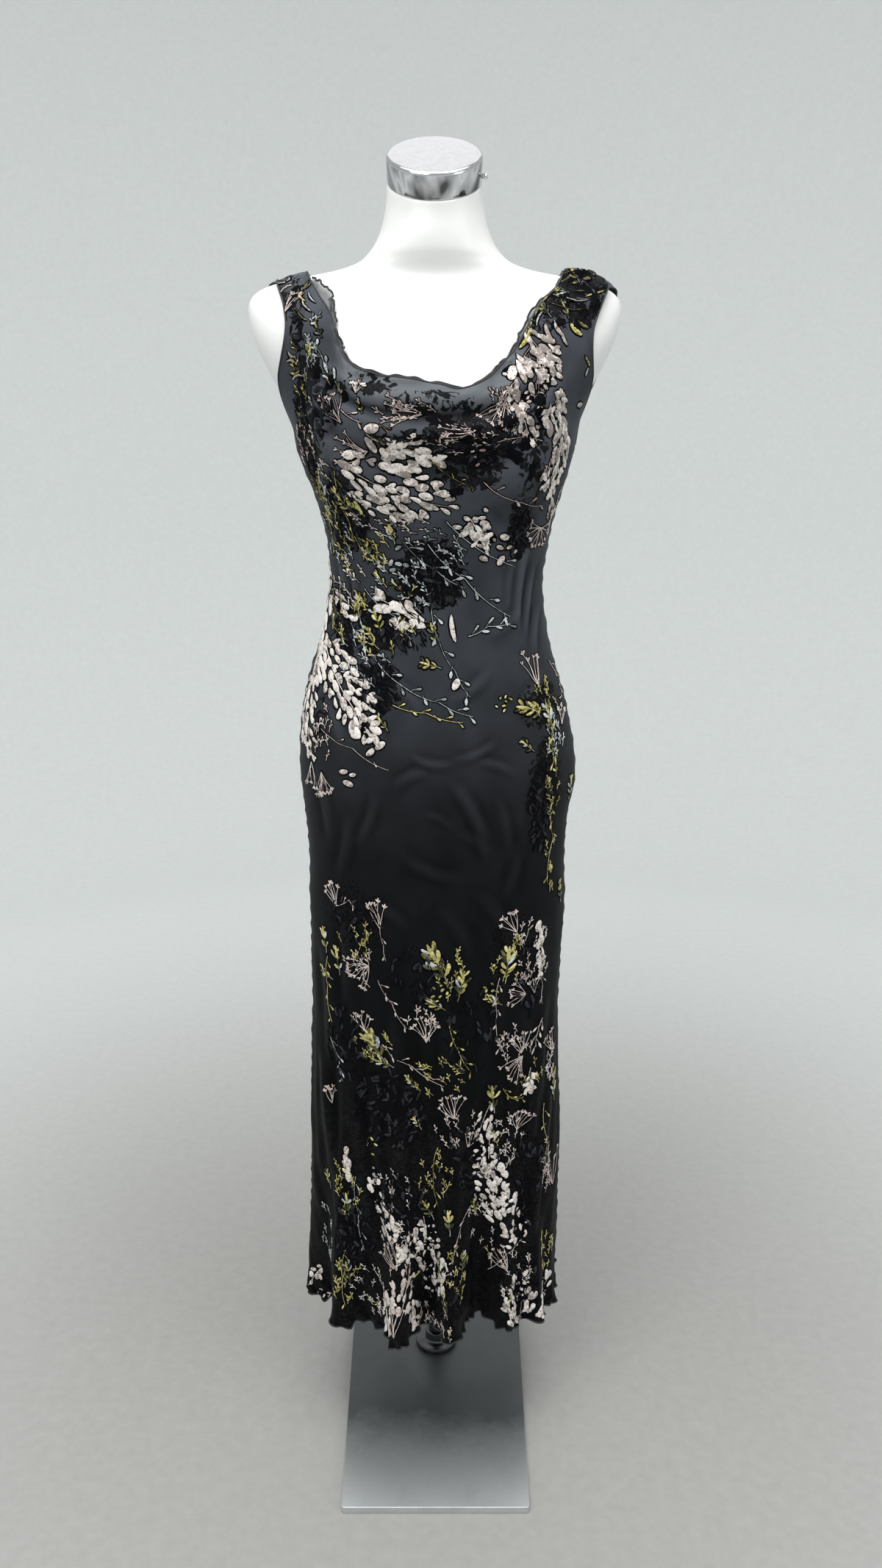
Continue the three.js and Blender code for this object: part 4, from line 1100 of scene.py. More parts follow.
class Velvet:
    """Raised velvet on the cloth: strips that follow its surface, gathered by panel and colour."""

    def __init__(self, panels):
        parts = []
        for rows, side in panels:
            parts.append((rows.reshape(-1, 3).tolist(), grid_faces(*rows.shape[:2], side > 0)))
        self.tree = BVHTree.FromPolygons(*joined(parts))
        self.strips = {}
        self.panel = "front"

    def onto(self, point):
        """The nearest place on the cloth and the cloth's normal there."""
        place, normal, _, _ = self.tree.find_nearest(point)
        return place, normal

    def place(self, across, up):
        """A point of the cloth: by the photograph's pixels on the front, by millimetres on the back."""
        if self.panel == "back":
            start = Vector((across * MM, BEHIND, up * MM))
            return self.onto(self.tree.ray_cast(start, Vector((0, -1, 0)))[0] or start)[0]
        eye = Vector(CAMERA["place"])
        for step in range(PLACE_STEPS):
            shown = mix(across, PICTURE["middle"], PLACE_SHARE * step)
            hit = self.tree.ray_cast(eye, sight(shown, up).normalized())[0]
            if hit:
                return hit
        ray = sight(across, up)
        return self.onto(eye + ray * (-CAMERA["place"][1] / ray.y))[0]

    def within(self, centre, half_width, half_height):
        """A random point of an upright oval on the cloth."""
        turn = math.radians(RANDOM.uniform(0, 360))
        reach = math.sqrt(RANDOM.uniform())
        spot = self.moved(centre, 0, half_width * reach * math.cos(turn))
        return self.moved(spot, 90, half_height * reach * math.sin(turn))

    def heading(self, angle, normal):
        """The direction along the cloth, 0 to the right and 90 upwards as seen from outside."""
        up = Vector((0, 0, 1))
        up = (up - normal * up.dot(normal)).normalized()
        turn = math.radians(angle)
        return up.cross(normal) * math.cos(turn) + up * math.sin(turn)

    def moved(self, point, angle, distance):
        """The point reached by walking over the cloth."""
        steps = max(1, math.ceil(abs(distance) / WALK_STEP))
        for _ in range(steps):
            place, normal = self.onto(point)
            point = self.onto(place + self.heading(angle, normal) * (distance / steps))[0]
        return point

    def strip(self, colour, route, widths, height, section):
        """Adds one strip. A strip that is left out has an empty route and still draws its tone."""
        empty = {"verts": [], "faces": [], "tone": [], "crown": []}
        parts = self.strips.setdefault((self.panel, colour), empty)
        base = len(parts["verts"])
        tone = RANDOM.uniform()
        for k, (point, normal) in enumerate(route):
            ahead = route[min(k + 1, len(route) - 1)][0] - route[max(k - 1, 0)][0]
            side = ahead.cross(normal).normalized()
            for across, share in section:
                place, out = self.onto(point + side * (across * widths[k]))
                parts["verts"].append(tuple(place + out * (share * height)))
                parts["tone"].append(tone)
                parts["crown"].append(max(share, 0.0))
        count = len(section)
        for k in range(len(route) - 1):
            for j in range(count - 1):
                a = base + k * count + j
                parts["faces"].append((a, a + 1, a + count + 1, a + count))

    def lay(self, colour, start, end, width, shape, bow, height, section, frames):
        """One strip from start to end, bowed by a share of its length."""
        normal = self.onto(start)[1]
        across = (end - start).cross(normal) * bow
        free, route, widths = [], [], []
        for k in range(frames):
            q = k / (frames - 1)
            t = q if shape is stem_shape else (1 - math.cos(math.pi * q)) / 2
            free.append(start.lerp(end, t) + across * (4 * t * (1 - t)))
            route.append(self.onto(free[-1]))
            widths.append(width * max(shape(q, t), THINNEST))
        steps = zip(free, free[1:], route, route[1:])
        if any((d[0] - c[0]).length > LEAP_RATIO * (b - a).length + LEAP for a, b, c, d in steps):
            route = []
        self.strip(colour, route, widths, height, section)

    def stroke(self, colour, start, end, width, shape=petal_shape, bow=0.0, margin=EDGE_MARGIN):
        """A coloured shape on its black margin."""
        length = (end - start).length
        if length < SHORTEST:
            return
        along = (end - start) / length
        thin = shape is stem_shape
        if thin:
            frames = max(3, min(24, round(length / STEM_STEP) + 1))
        else:
            frames = 4 + sum(length > step for step in PETAL_STEPS)
        section = THIN_SECTION if thin or colour == "black" else CORE_SECTION
        height = CORE_HEIGHT * (0.8 if thin else RANDOM.uniform(0.85, 1.15))
        if margin > 0:
            past = along * margin * 0.8
            self.lay("rim", start - past, end + past, width + margin, shape, bow, EDGE_HEIGHT, EDGE_SECTION,
                     frames)
        self.lay(colour, start, end, width, shape, bow, height, section, frames)

    def petal(self, colour, centre, angle, length, width, shape=petal_shape, margin=EDGE_MARGIN):
        """A stroke through its centre, bowed a little at random."""
        start = self.moved(centre, angle + 180, length / 2)
        end = self.moved(centre, angle, length / 2)
        self.stroke(colour, start, end, width / 2, shape, RANDOM.uniform(-0.08, 0.08), margin)

    def stem(self, colour, places):
        for start, end in zip(places, places[1:]):
            self.stroke(colour, start, end, STEMS["stem"], stem_shape, 0.06, MARGINS["stem"])

    def umbel(self, colour, base, angle, reach, spread, rays):
        """Thin rays that fan out from one point, each with a few buds at its end."""
        for k in range(rays):
            way = angle + spread * (k / max(rays - 1, 1) - 0.5) + RANDOM.uniform(-5, 5)
            tip = self.moved(base, way, reach * RANDOM.uniform(0.72, 1.05))
            bow = RANDOM.uniform(-0.1, 0.1)
            self.stroke(colour, base, tip, STEMS["ray"], stem_shape, bow, MARGINS["ray"])
            for turn in (-42, 4, 40)[:RANDOM.integers(2, 4)]:
                end = self.moved(tip, way + turn, RANDOM.uniform(*BUD_LENGTH))
                self.stroke(colour, tip, end, RANDOM.uniform(*BUD_WIDTH), petal_shape, 0.0, MARGINS["bud"])

    def spray(self, colour, base, tip, breadth, petals, size):
        """Petals crowded along an axis, leaning away from it towards its tip."""
        angle = self.angle_of(base, tip)
        self.stroke(colour, base, tip, STEMS["axis"], stem_shape, 0.03)
        taken = []
        for _ in range(petals * 9):
            t = RANDOM.uniform(0.02, 1.0)
            off = RANDOM.uniform(-1, 1)
            reach = breadth * math.sin(math.pi * (0.14 + 0.8 * t)) ** 0.7
            centre = self.moved(base.lerp(tip, t), angle + 90, off * reach)
            length = size * RANDOM.uniform(0.7, 1.2)
            if any((centre - other).length < 0.58 * size for other in taken):
                continue
            taken.append(centre)
            way = angle + off * RANDOM.uniform(10, 50)
            width = length * RANDOM.uniform(0.56, 0.78)
            self.petal(colour, centre, way, length, width, BLOB_SHAPES[len(taken) % 3])
            if RANDOM.uniform() < 0.35:
                root = self.moved(centre, way + 180, length * 0.3)
                end = self.moved(root, way + RANDOM.choice([-48, 48]), length * 0.72)
                self.stroke(colour, root, end, length * 0.24, round_shape)
            if len(taken) == petals:
                break

    def angle_of(self, start, end):
        """The heading from one point of the cloth to another."""
        normal = self.onto(start.lerp(end, 0.5))[1]
        along = end - start
        up, right = (along.dot(self.heading(turn, normal)) for turn in (90, 0))
        return math.degrees(math.atan2(up, right))

    def leaf(self, base, angle, length, lobes):
        """A lobed leaf: a vein with uneven pairs of olive lobes, some moss or pale, and a pointed tip."""
        tip = self.moved(base, angle, length)
        for k in range(lobes):
            t = 0.12 + 0.72 * k / max(lobes - 1, 1)
            size = length * (0.42 - 0.2 * abs(t - 0.42))
            for turn in (-1, 1):
                colour = RANDOM.choice(LOBE_COLOURS)
                root = base.lerp(tip, t + RANDOM.uniform(-0.05, 0.05))
                way = angle + turn * RANDOM.uniform(22, 52)
                end = self.moved(root, way, size * RANDOM.uniform(0.75, 1.15))
                width = size * RANDOM.uniform(0.17, 0.3)
                self.stroke(colour, root, end, width, petal_shape, turn * -0.1, MARGINS["lobe"])
        point = self.moved(tip, angle, length * 0.1)
        self.stroke("olive", base.lerp(tip, 0.5), point, length * 0.085, leaf_shape)
        self.stroke("moss", base, base.lerp(tip, 0.55), length * 0.06, leaf_shape)
        foot = self.moved(base, angle + 180, length * 0.2)
        colour = "ice" if lobes % 2 else "olive"
        self.stroke(colour, foot, base.lerp(tip, 0.6), STEMS["stem"], stem_shape, 0.03, MARGINS["vein"])

    def twig(self, colour, places, buds, bud_size):
        """A thin stem with buds or small leaves on alternate sides."""
        self.stem(colour, places)
        side = 1
        for start, end in zip(places, places[1:]):
            angle = self.angle_of(start, end)
            for k in range(buds):
                root = start.lerp(end, (k + 0.6) / buds)
                way = angle + side * RANDOM.uniform(28, 50)
                neck = self.moved(root, way, bud_size * RANDOM.uniform(0.4, 0.8))
                tip = self.moved(neck, way - side * 8, bud_size * RANDOM.uniform(0.8, 1.2))
                self.stroke(colour, root, neck, STEMS["neck"], stem_shape, 0.0, MARGINS["stem"])
                self.stroke(colour, neck, tip, bud_size * 0.27, leaf_shape if k % 2 else petal_shape)
                side = -side

    def sprigs(self, colour, centre, half_width, half_height, angle, count, size):
        """Small sprigs strewn over a patch: a short stem with three buds."""
        for _ in range(count):
            spot = self.within(centre, half_width, half_height)
            way = angle + RANDOM.uniform(-32, 32)
            length = size * RANDOM.uniform(0.8, 1.5)
            tip = self.moved(spot, way, length)
            bow = RANDOM.uniform(-0.1, 0.1)
            self.stroke(colour, spot, tip, STEMS["stem"], stem_shape, bow, MARGINS["stem"])
            for share, lean in SPRIG_BUDS:
                root = spot.lerp(tip, share)
                end = self.moved(root, way + lean, size * RANDOM.uniform(0.4, 0.75))
                width = size * RANDOM.uniform(0.11, 0.19)
                self.stroke(colour, root, end, width, petal_shape, 0.0, MARGINS["sprig"])

    def pebbles(self, colour, centre, radius, count, size):
        """Round petals scattered apart from each other."""
        taken = []
        for _ in range(count * 6):
            spot = self.moved(centre, RANDOM.uniform(0, 360), radius * math.sqrt(RANDOM.uniform()))
            if len(taken) == count:
                break
            if any((spot - other).length < size * 0.95 for other in taken):
                continue
            taken.append(spot)
            length = size * RANDOM.uniform(0.7, 1.2)
            way = RANDOM.uniform(-40, 70)
            self.petal(colour, spot, way, length, length * RANDOM.uniform(0.62, 0.8), round_shape)

    def shadow(self, centre, half_width, half_height, angle, count):
        """A patch of tonal velvet: black leaves and petals, and a dull grey shape for every third."""
        for k in range(count):
            spot = self.within(centre, half_width, half_height)
            way = angle + RANDOM.uniform(-55, 55)
            if k % 3 == 0:
                length = RANDOM.uniform(0.007, 0.014)
                width = length * RANDOM.uniform(0.3, 0.6)
                self.petal("shade", spot, way, length, width, BLOB_SHAPES[k % 2], MARGINS["shade"])
            else:
                length = RANDOM.uniform(0.005, 0.015)
                shape = leaf_shape if k % 3 == 1 else petal_shape
                self.petal("black", spot, way, length, length * RANDOM.uniform(0.25, 0.5), shape, 0.0)

    def blot(self, centre, angle, length, width):
        """A broad shape of flat black velvet made of a few overlapping leaves."""
        for turn, size in BLOT_LEAVES:
            self.petal("black", centre, angle + turn, length * size, width * size, round_shape, 0.0)

    def pieces(self, looks):
        """One piece for each panel and colour."""
        made = []
        for (panel, colour), parts in self.strips.items():
            obj = mesh_object(f"velvet_{colour}_{panel}", parts["verts"], parts["faces"], looks[colour])
            for key in ("tone", "crown"):
                add_attribute(obj, key, parts[key])
            made.append(obj)
        return made


# Layout of the motifs, in the order in which they are laid. The front's places are pixels of the photograph,
# and the back's are millimetres from its middle line and from the floor. Other sizes are in millimetres.
FRONT_MOTIFS = {
    # Place across and up, angle, length and width
    "blots": [
        (640, 590, 175, 40, 16), (690, 575, 20, 30, 14), (600, 572, 170, 34, 12), (700, 620, 150, 26, 12),
        (560, 600, 160, 28, 12), (430, 500, 110, 26, 12), (412, 560, 100, 34, 12), (450, 520, 60, 20, 10),
        (470, 540, 90, 16, 10), (800, 372, 140, 20, 8), (760, 400, 20, 26, 9), (740, 390, 40, 24, 9),
        (786, 440, 70, 18, 9), (780, 374, 20, 34, 12), (800, 392, 10, 34, 10), (770, 410, 60, 26, 10),
        (792, 420, 100, 26, 10), (760, 440, 30, 20, 9), (810, 410, 80, 24, 9), (400, 395, 70, 20, 8),
        (722, 440, 60, 20, 8), (736, 540, 80, 26, 12), (716, 600, 60, 24, 12), (725, 640, 100, 26, 10),
        (620, 670, 20, 20, 9),
    ],
    # Place, half width and half height, angle and count
    "shadows": [
        (586, 792, 34, 30, 120, 90), (707, 722, 14, 26, 100, 34), (414, 590, 14, 60, 100, 70),
        (512, 934, 24, 32, 110, 60), (536, 866, 16, 14, 100, 24), (640, 612, 42, 16, 10, 46),
        (560, 600, 40, 12, 170, 34), (736, 1098, 16, 62, 92, 90), (480, 1250, 38, 30, 100, 46),
        (530, 1506, 50, 52, 60, 230), (470, 1420, 30, 50, 100, 90), (560, 1330, 30, 36, 80, 46),
        (640, 1400, 34, 60, 95, 90), (720, 1330, 20, 50, 92, 46), (640, 1570, 40, 50, 110, 110),
        (720, 1600, 26, 70, 95, 90), (540, 1640, 40, 46, 120, 100), (480, 1690, 30, 60, 100, 90),
        (600, 1760, 60, 40, 90, 110), (700, 1740, 40, 36, 100, 70), (470, 700, 22, 40, 120, 50),
        (440, 560, 16, 20, 130, 24), (560, 860, 20, 22, 110, 26), (400, 460, 8, 30, 100, 20),
    ],
    # Colour, buds to a stretch, size of a bud and the places that the stem runs through
    "twigs": [
        ("ice", 3, 8, (607, 709), (700, 771)), ("blush", 2, 6, (472, 596), (492, 622)),
        ("olive", 5, 3, (520, 580), (580, 622), (647, 665)),
        ("blush", 2, 7, (658, 656), (711, 684), (739, 687)),
        ("ice", 3, 9, (548, 736), (596, 778), (633, 800)),
        ("ice", 3, 9, (582, 740), (633, 788), (694, 839)),
        ("ice", 3, 8, (637, 866), (664, 852), (694, 848)),
        ("ice", 3, 8, (478, 847), (512, 898), (550, 935)),
        ("ice", 3, 8, (550, 935), (598, 956), (644, 975)),
        ("olive", 3, 6, (534, 959), (580, 970), (630, 983)),
        ("ice", 2, 9, (587, 820), (598, 874), (620, 914), (640, 949)),
        ("blush", 1, 5, (437, 991), (480, 1018), (529, 1048)),
        ("blush", 3, 5, (746, 898), (760, 922), (764, 949)),
        ("olive", 3, 7, (741, 950), (751, 990), (754, 1040)),
        ("ice", 2, 8, (461, 527), (440, 492), (428, 470)), ("blush", 2, 6, (464, 558), (492, 575)),
        ("blush", 1, 5, (458, 1232), (475, 1224), (484, 1236)),
        ("blush", 1, 6, (517, 1263), (522, 1286), (525, 1307)),
        ("blush", 3, 6, (514, 1333), (534, 1366), (553, 1399)),
        ("olive", 3, 7, (611, 1392), (624, 1430), (643, 1460)),
        ("blush", 2, 5, (703, 1268), (714, 1280), (719, 1262)),
        ("blush", 1, 5, (737, 1312), (738, 1340), (737, 1365)),
        ("cream", 3, 8, (738, 1384), (732, 1402), (729, 1424)),
        ("blush", 4, 6, (520, 1420), (560, 1450), (604, 1478)),
        ("olive", 3, 6, (684, 1480), (696, 1494), (712, 1493)),
        ("blush", 3, 6, (664, 1726), (688, 1706), (710, 1685)),
        ("olive", 3, 6, (446, 1300), (446, 1340), (452, 1390)),
        ("ice", 3, 6, (450, 1410), (462, 1440), (466, 1470)),
        ("blush", 3, 7, (680, 1330), (676, 1380), (682, 1430)),
        ("olive", 3, 6, (596, 1560), (590, 1600), (596, 1640)),
        ("ice", 3, 6, (484, 1600), (488, 1650), (496, 1700)),
        ("olive", 3, 7, (740, 1500), (744, 1550), (742, 1600)),
        ("blush", 3, 6, (640, 1640), (624, 1680), (616, 1720)),
        ("olive", 3, 5, (455, 800), (452, 840), (470, 870)),
        ("olive", 4, 6, (430, 640), (446, 700), (456, 750)),
        ("olive", 3, 6, (455, 640), (470, 700), (500, 760)),
        ("ice", 3, 6, (496, 800), (540, 840), (560, 870)),
        ("blush", 3, 6, (738, 600), (700, 596), (660, 606)),
        ("olive", 3, 7, (706, 452), (690, 480), (660, 500)),
        ("blush", 3, 7, (724, 470), (700, 520), (676, 560)),
        ("olive", 3, 7, (470, 1700), (466, 1740), (470, 1776)),
        ("olive", 3, 7, (750, 1090), (752, 1140), (744, 1200)),
    ],
    # Place, angle, length and pairs of lobes
    "leaves": [
        (436, 456, 120, 16, 2), (424, 488, 110, 16, 2), (404, 402, 60, 18, 3), (492, 560, 110, 14, 2),
        (524, 604, 150, 14, 2), (478, 694, 128, 30, 4), (448, 684, 112, 22, 3), (536, 736, 105, 18, 3),
        (494, 700, 140, 16, 2), (466, 826, 118, 24, 3), (490, 842, 108, 20, 3), (518, 858, 112, 24, 3),
        (592, 872, 104, 20, 3), (548, 804, 140, 16, 2), (524, 796, 130, 18, 2), (556, 812, 60, 14, 2),
        (508, 764, 112, 20, 3), (596, 908, 164, 20, 3), (484, 842, 100, 16, 2), (526, 992, 128, 18, 2),
        (738, 966, 168, 34, 4), (752, 996, 100, 34, 3), (724, 1020, 140, 18, 3), (744, 1026, 70, 18, 2),
        (756, 1052, 90, 20, 2), (774, 1082, 90, 24, 3), (762, 1222, 96, 24, 3), (748, 1110, 90, 16, 2),
        (444, 1290, 104, 26, 3), (462, 1320, 98, 30, 3), (450, 1330, 150, 18, 3), (606, 1332, 116, 46, 5),
        (624, 1356, 78, 32, 4), (602, 1372, 150, 22, 4), (688, 1330, 84, 38, 5), (680, 1366, 150, 20, 4),
        (520, 1440, 122, 40, 5), (532, 1450, 170, 26, 3), (500, 1430, 60, 22, 3), (566, 1480, 130, 18, 3),
        (572, 1534, 120, 18, 3), (672, 1508, 95, 30, 3), (676, 1556, 110, 18, 2), (753, 1490, 94, 34, 4),
        (450, 1612, 110, 22, 3), (474, 1648, 96, 26, 3), (588, 1654, 118, 26, 3), (612, 1676, 96, 28, 3),
        (628, 1730, 84, 28, 4), (476, 1740, 100, 26, 3), (646, 1650, 100, 22, 3), (750, 1698, 94, 20, 3),
        (608, 1790, 112, 26, 3), (626, 1770, 60, 18, 2), (560, 1744, 40, 16, 2), (668, 1710, 120, 16, 2),
        (690, 1780, 70, 18, 2), (516, 1776, 150, 16, 2), (612, 1824, 96, 14, 2), (772, 430, 100, 18, 2),
        (746, 428, 130, 22, 3), (786, 380, 120, 24, 3), (716, 456, 60, 22, 3), (770, 396, 160, 20, 3),
    ],
    # Base, angle, reach, spread, rays and colour
    "umbels": [
        (464, 575, 122, 36, 55, 6, "blush"), (500, 614, 176, 38, 60, 7, "blush"),
        (484, 534, 84, 13, 60, 6, "cream"), (576, 563, 178, 40, 50, 7, "blush"),
        (647, 586, 180, 36, 40, 6, "blush"), (689, 547, 250, 34, 100, 10, "blush"),
        (736, 718, 268, 20, 210, 12, "blush"), (437, 1050, 278, 30, 62, 8, "blush"),
        (424, 1036, 262, 30, 40, 5, "cream"), (732, 935, 100, 44, 46, 6, "blush"),
        (764, 985, 70, 20, 60, 5, "cream"), (458, 1232, 118, 27, 60, 6, "blush"),
        (517, 1263, 103, 36, 44, 6, "blush"), (502, 1314, 214, 30, 86, 8, "blush"),
        (580, 1418, 95, 30, 84, 8, "blush"), (703, 1268, 118, 28, 60, 6, "blush"),
        (715, 1352, 165, 24, 90, 7, "blush"), (727, 1350, 100, 18, 60, 5, "cream"),
        (711, 1436, 236, 32, 78, 8, "blush"), (709, 1432, 96, 26, 70, 6, "cream"),
        (750, 1428, 110, 26, 50, 5, "blush"), (496, 1402, 100, 22, 66, 6, "blush"),
        (618, 1522, 104, 30, 76, 8, "blush"), (703, 1536, 74, 26, 76, 7, "blush"),
        (540, 1728, 132, 36, 84, 9, "blush"), (751, 1610, 96, 46, 44, 7, "blush"),
        (536, 1820, 112, 34, 90, 9, "blush"), (722, 1800, 100, 30, 90, 8, "blush"),
        (690, 1726, 128, 30, 60, 6, "blush"), (600, 1740, 80, 26, 60, 6, "cream"),
        (388, 424, 70, 26, 40, 6, "blush"), (636, 1560, 60, 18, 80, 6, "blush"),
        (452, 1500, 100, 22, 40, 5, "blush"),
    ],
    # Base, tip, breadth, petals, size and colour
    "sprays": [
        (466, 630, 618, 690, 27, 52, 17, "cream"), (498, 590, 606, 628, 14, 16, 19, "cream"),
        (470, 668, 560, 706, 10, 12, 14, "cream"), (640, 706, 668, 742, 10, 8, 15, "cream"),
        (708, 486, 762, 590, 29, 46, 16, "cream"), (690, 530, 730, 606, 10, 10, 15, "cream"),
        (764, 580, 750, 672, 19, 26, 14, "cream"), (676, 500, 740, 560, 9, 8, 15, "cream"),
        (740, 640, 752, 700, 9, 8, 12, "cream"), (716, 452, 760, 506, 14, 13, 14, "cream"),
        (448, 762, 434, 880, 14, 28, 16, "cream"), (436, 840, 430, 930, 18, 28, 16, "cream"),
        (428, 915, 414, 1008, 18, 28, 15, "cream"), (444, 872, 510, 1006, 26, 56, 15, "cream"),
        (420, 990, 428, 1036, 10, 7, 12, "cream"), (578, 850, 510, 812, 12, 11, 21, "cream"),
        (456, 800, 480, 846, 9, 7, 13, "cream"), (735, 1256, 734, 1324, 5, 8, 14, "cream"),
        (722, 1452, 716, 1490, 6, 5, 13, "cream"), (668, 1500, 650, 1548, 9, 8, 12, "cream"),
        (512, 1640, 508, 1586, 8, 8, 16, "cream"), (560, 1712, 520, 1640, 19, 24, 16, "cream"),
        (544, 1790, 556, 1724, 21, 22, 15, "blush"), (594, 1756, 576, 1654, 21, 30, 15, "cream"),
        (704, 1690, 654, 1560, 25, 48, 14, "cream"), (662, 1600, 664, 1520, 14, 12, 15, "cream"),
        (530, 1760, 512, 1812, 16, 12, 16, "cream"), (716, 1800, 706, 1728, 25, 26, 15, "cream"),
        (744, 1790, 748, 1730, 13, 11, 15, "cream"), (560, 1770, 566, 1800, 14, 9, 15, "cream"),
        (474, 1602, 470, 1560, 4, 5, 13, "cream"), (438, 1724, 420, 1748, 8, 6, 12, "cream"),
    ],
    # Centre, radius, count, size and colour
    "pebbles": [
        (640, 722, 17, 8, 12, "cream"), (670, 745, 19, 8, 11, "cream"), (655, 700, 8, 2, 9, "cream"),
        (700, 745, 10, 3, 9, "cream"), (500, 1000, 20, 8, 13, "cream"), (476, 1058, 12, 4, 12, "cream"),
        (466, 910, 9, 4, 9, "cream"), (620, 928, 6, 2, 13, "cream"), (656, 1590, 14, 7, 8, "cream"),
        (690, 1640, 12, 6, 9, "cream"), (592, 1690, 9, 5, 9, "cream"), (714, 1470, 7, 4, 8, "cream"),
        (440, 1320, 9, 6, 5, "olive"), (598, 1352, 12, 8, 5, "olive"), (668, 1346, 10, 7, 5, "olive"),
        (686, 958, 10, 7, 5, "olive"), (540, 760, 14, 5, 7, "ice"), (650, 620, 12, 4, 6, "blush"),
        (440, 1760, 10, 6, 7, "cream"), (740, 1780, 12, 8, 9, "cream"), (508, 1560, 12, 5, 6, "olive"),
    ],
    # Centre, half width and half height, angle, count, size and colour
    "sprigs": [
        (450, 690, 22, 40, 125, 13, 11, "olive"), (500, 760, 34, 30, 135, 12, 11, "olive"),
        (480, 850, 30, 30, 125, 12, 11, "olive"), (540, 880, 30, 26, 130, 9, 11, "olive"),
        (460, 740, 26, 40, 120, 12, 8, "ice"), (560, 800, 40, 34, 140, 18, 9, "ice"),
        (500, 900, 34, 30, 135, 14, 9, "ice"), (600, 760, 40, 30, 140, 12, 8, "ice"),
        (440, 640, 16, 40, 110, 12, 8, "cream"), (520, 710, 40, 24, 150, 10, 8, "cream"),
        (480, 800, 30, 30, 130, 12, 9, "cream"), (560, 720, 36, 20, 150, 8, 8, "cream"),
        (412, 540, 10, 60, 100, 14, 8, "olive"), (420, 500, 12, 50, 100, 12, 8, "ice"),
        (410, 600, 12, 40, 95, 10, 8, "blush"), (560, 560, 44, 10, 170, 12, 8, "blush"),
        (620, 600, 50, 16, 170, 14, 8, "blush"), (690, 560, 24, 18, 100, 14, 8, "blush"),
        (744, 520, 20, 30, 80, 16, 8, "blush"), (756, 620, 12, 36, 95, 18, 8, "blush"),
        (750, 700, 10, 24, 100, 14, 7, "blush"), (745, 960, 20, 26, 110, 12, 8, "olive"),
        (756, 1010, 12, 30, 95, 12, 8, "ice"), (752, 1080, 10, 30, 95, 12, 7, "olive"),
        (748, 1180, 8, 50, 92, 10, 7, "olive"), (440, 1000, 16, 40, 100, 12, 8, "blush"),
        (480, 1280, 22, 30, 100, 14, 8, "olive"), (490, 1320, 26, 24, 110, 12, 8, "blush"),
        (610, 1330, 22, 34, 90, 16, 8, "olive"), (690, 1310, 20, 34, 100, 14, 8, "olive"),
        (715, 1300, 16, 40, 95, 16, 8, "blush"), (740, 1300, 8, 40, 90, 12, 8, "cream"),
        (510, 1420, 26, 26, 120, 14, 8, "olive"), (575, 1400, 20, 22, 95, 12, 8, "blush"),
        (600, 1470, 36, 26, 135, 18, 8, "olive"), (700, 1430, 26, 30, 95, 18, 8, "blush"),
        (748, 1450, 8, 40, 92, 14, 8, "cream"), (720, 1470, 20, 24, 100, 10, 8, "olive"),
        (620, 1540, 30, 24, 110, 14, 8, "blush"), (690, 1560, 24, 40, 100, 18, 8, "cream"),
        (740, 1600, 14, 50, 95, 18, 8, "blush"), (660, 1660, 30, 40, 110, 18, 8, "cream"),
        (590, 1600, 30, 36, 95, 14, 8, "olive"), (540, 1640, 36, 40, 120, 18, 8, "cream"),
        (470, 1620, 24, 40, 100, 16, 8, "olive"), (450, 1680, 20, 40, 100, 12, 8, "ice"),
        (560, 1720, 40, 40, 105, 26, 8, "blush"), (620, 1740, 36, 40, 95, 22, 8, "olive"),
        (700, 1740, 30, 36, 100, 22, 8, "cream"), (510, 1760, 30, 36, 110, 20, 8, "cream"),
        (740, 1700, 14, 40, 95, 14, 8, "olive"), (470, 1750, 22, 30, 100, 14, 8, "olive"),
        (590, 1790, 50, 24, 95, 20, 8, "blush"),
    ],
    # Start, end, half width, bow and colour
    "strokes": [
        (769, 372, 802, 360, 2.6, 0.1, "olive"), (778, 386, 820, 372, 2.8, 0.1, "olive"),
        (784, 396, 822, 388, 1.6, 0.1, "moss"), (762, 384, 776, 374, 1.6, 0.1, "olive"),
        (796, 404, 822, 396, 1.2, 0.0, "olive"), (756, 399, 800, 408, 0.7, 0.1, "cream"),
        (748, 412, 794, 420, 0.6, 0.1, "olive"), (756, 402, 770, 398, 1.8, 0.0, "ice"),
        (764, 414, 776, 408, 1.8, 0.0, "ice"), (776, 440, 792, 456, 3.6, 0.1, "olive"),
        (786, 436, 800, 446, 2.4, 0.1, "olive"), (742, 440, 752, 464, 3.0, 0.1, "cream"),
        (754, 436, 766, 458, 3.0, 0.1, "cream"), (764, 452, 772, 470, 2.6, 0.1, "cream"),
        (746, 468, 760, 478, 2.4, 0.1, "cream"), (706, 474, 720, 446, 2.8, 0.1, "olive"),
        (716, 446, 728, 430, 2.2, 0.1, "olive"), (726, 424, 736, 414, 1.6, 0.1, "olive"),
        (796, 484, 802, 498, 1.6, 0.0, "olive"), (800, 500, 796, 512, 1.6, 0.0, "ice"),
        (738, 424, 730, 444, 1.2, 0.1, "ice"), (378, 386, 394, 378, 1.8, 0.3, "blush"),
        (382, 398, 398, 388, 1.6, -0.2, "cream"), (380, 414, 392, 400, 1.6, 0.2, "blush"),
        (384, 424, 396, 414, 1.4, -0.2, "cream"), (406, 398, 416, 410, 1.2, 0.1, "olive"),
        (412, 408, 424, 424, 1.1, 0.1, "cream"), (404, 420, 418, 436, 1.1, 0.1, "olive"),
        (420, 398, 430, 412, 1.0, 0.1, "ice"), (392, 478, 402, 486, 1.6, 0.2, "cream"),
        (390, 492, 404, 496, 1.6, -0.2, "cream"), (394, 506, 408, 504, 1.6, 0.2, "olive"),
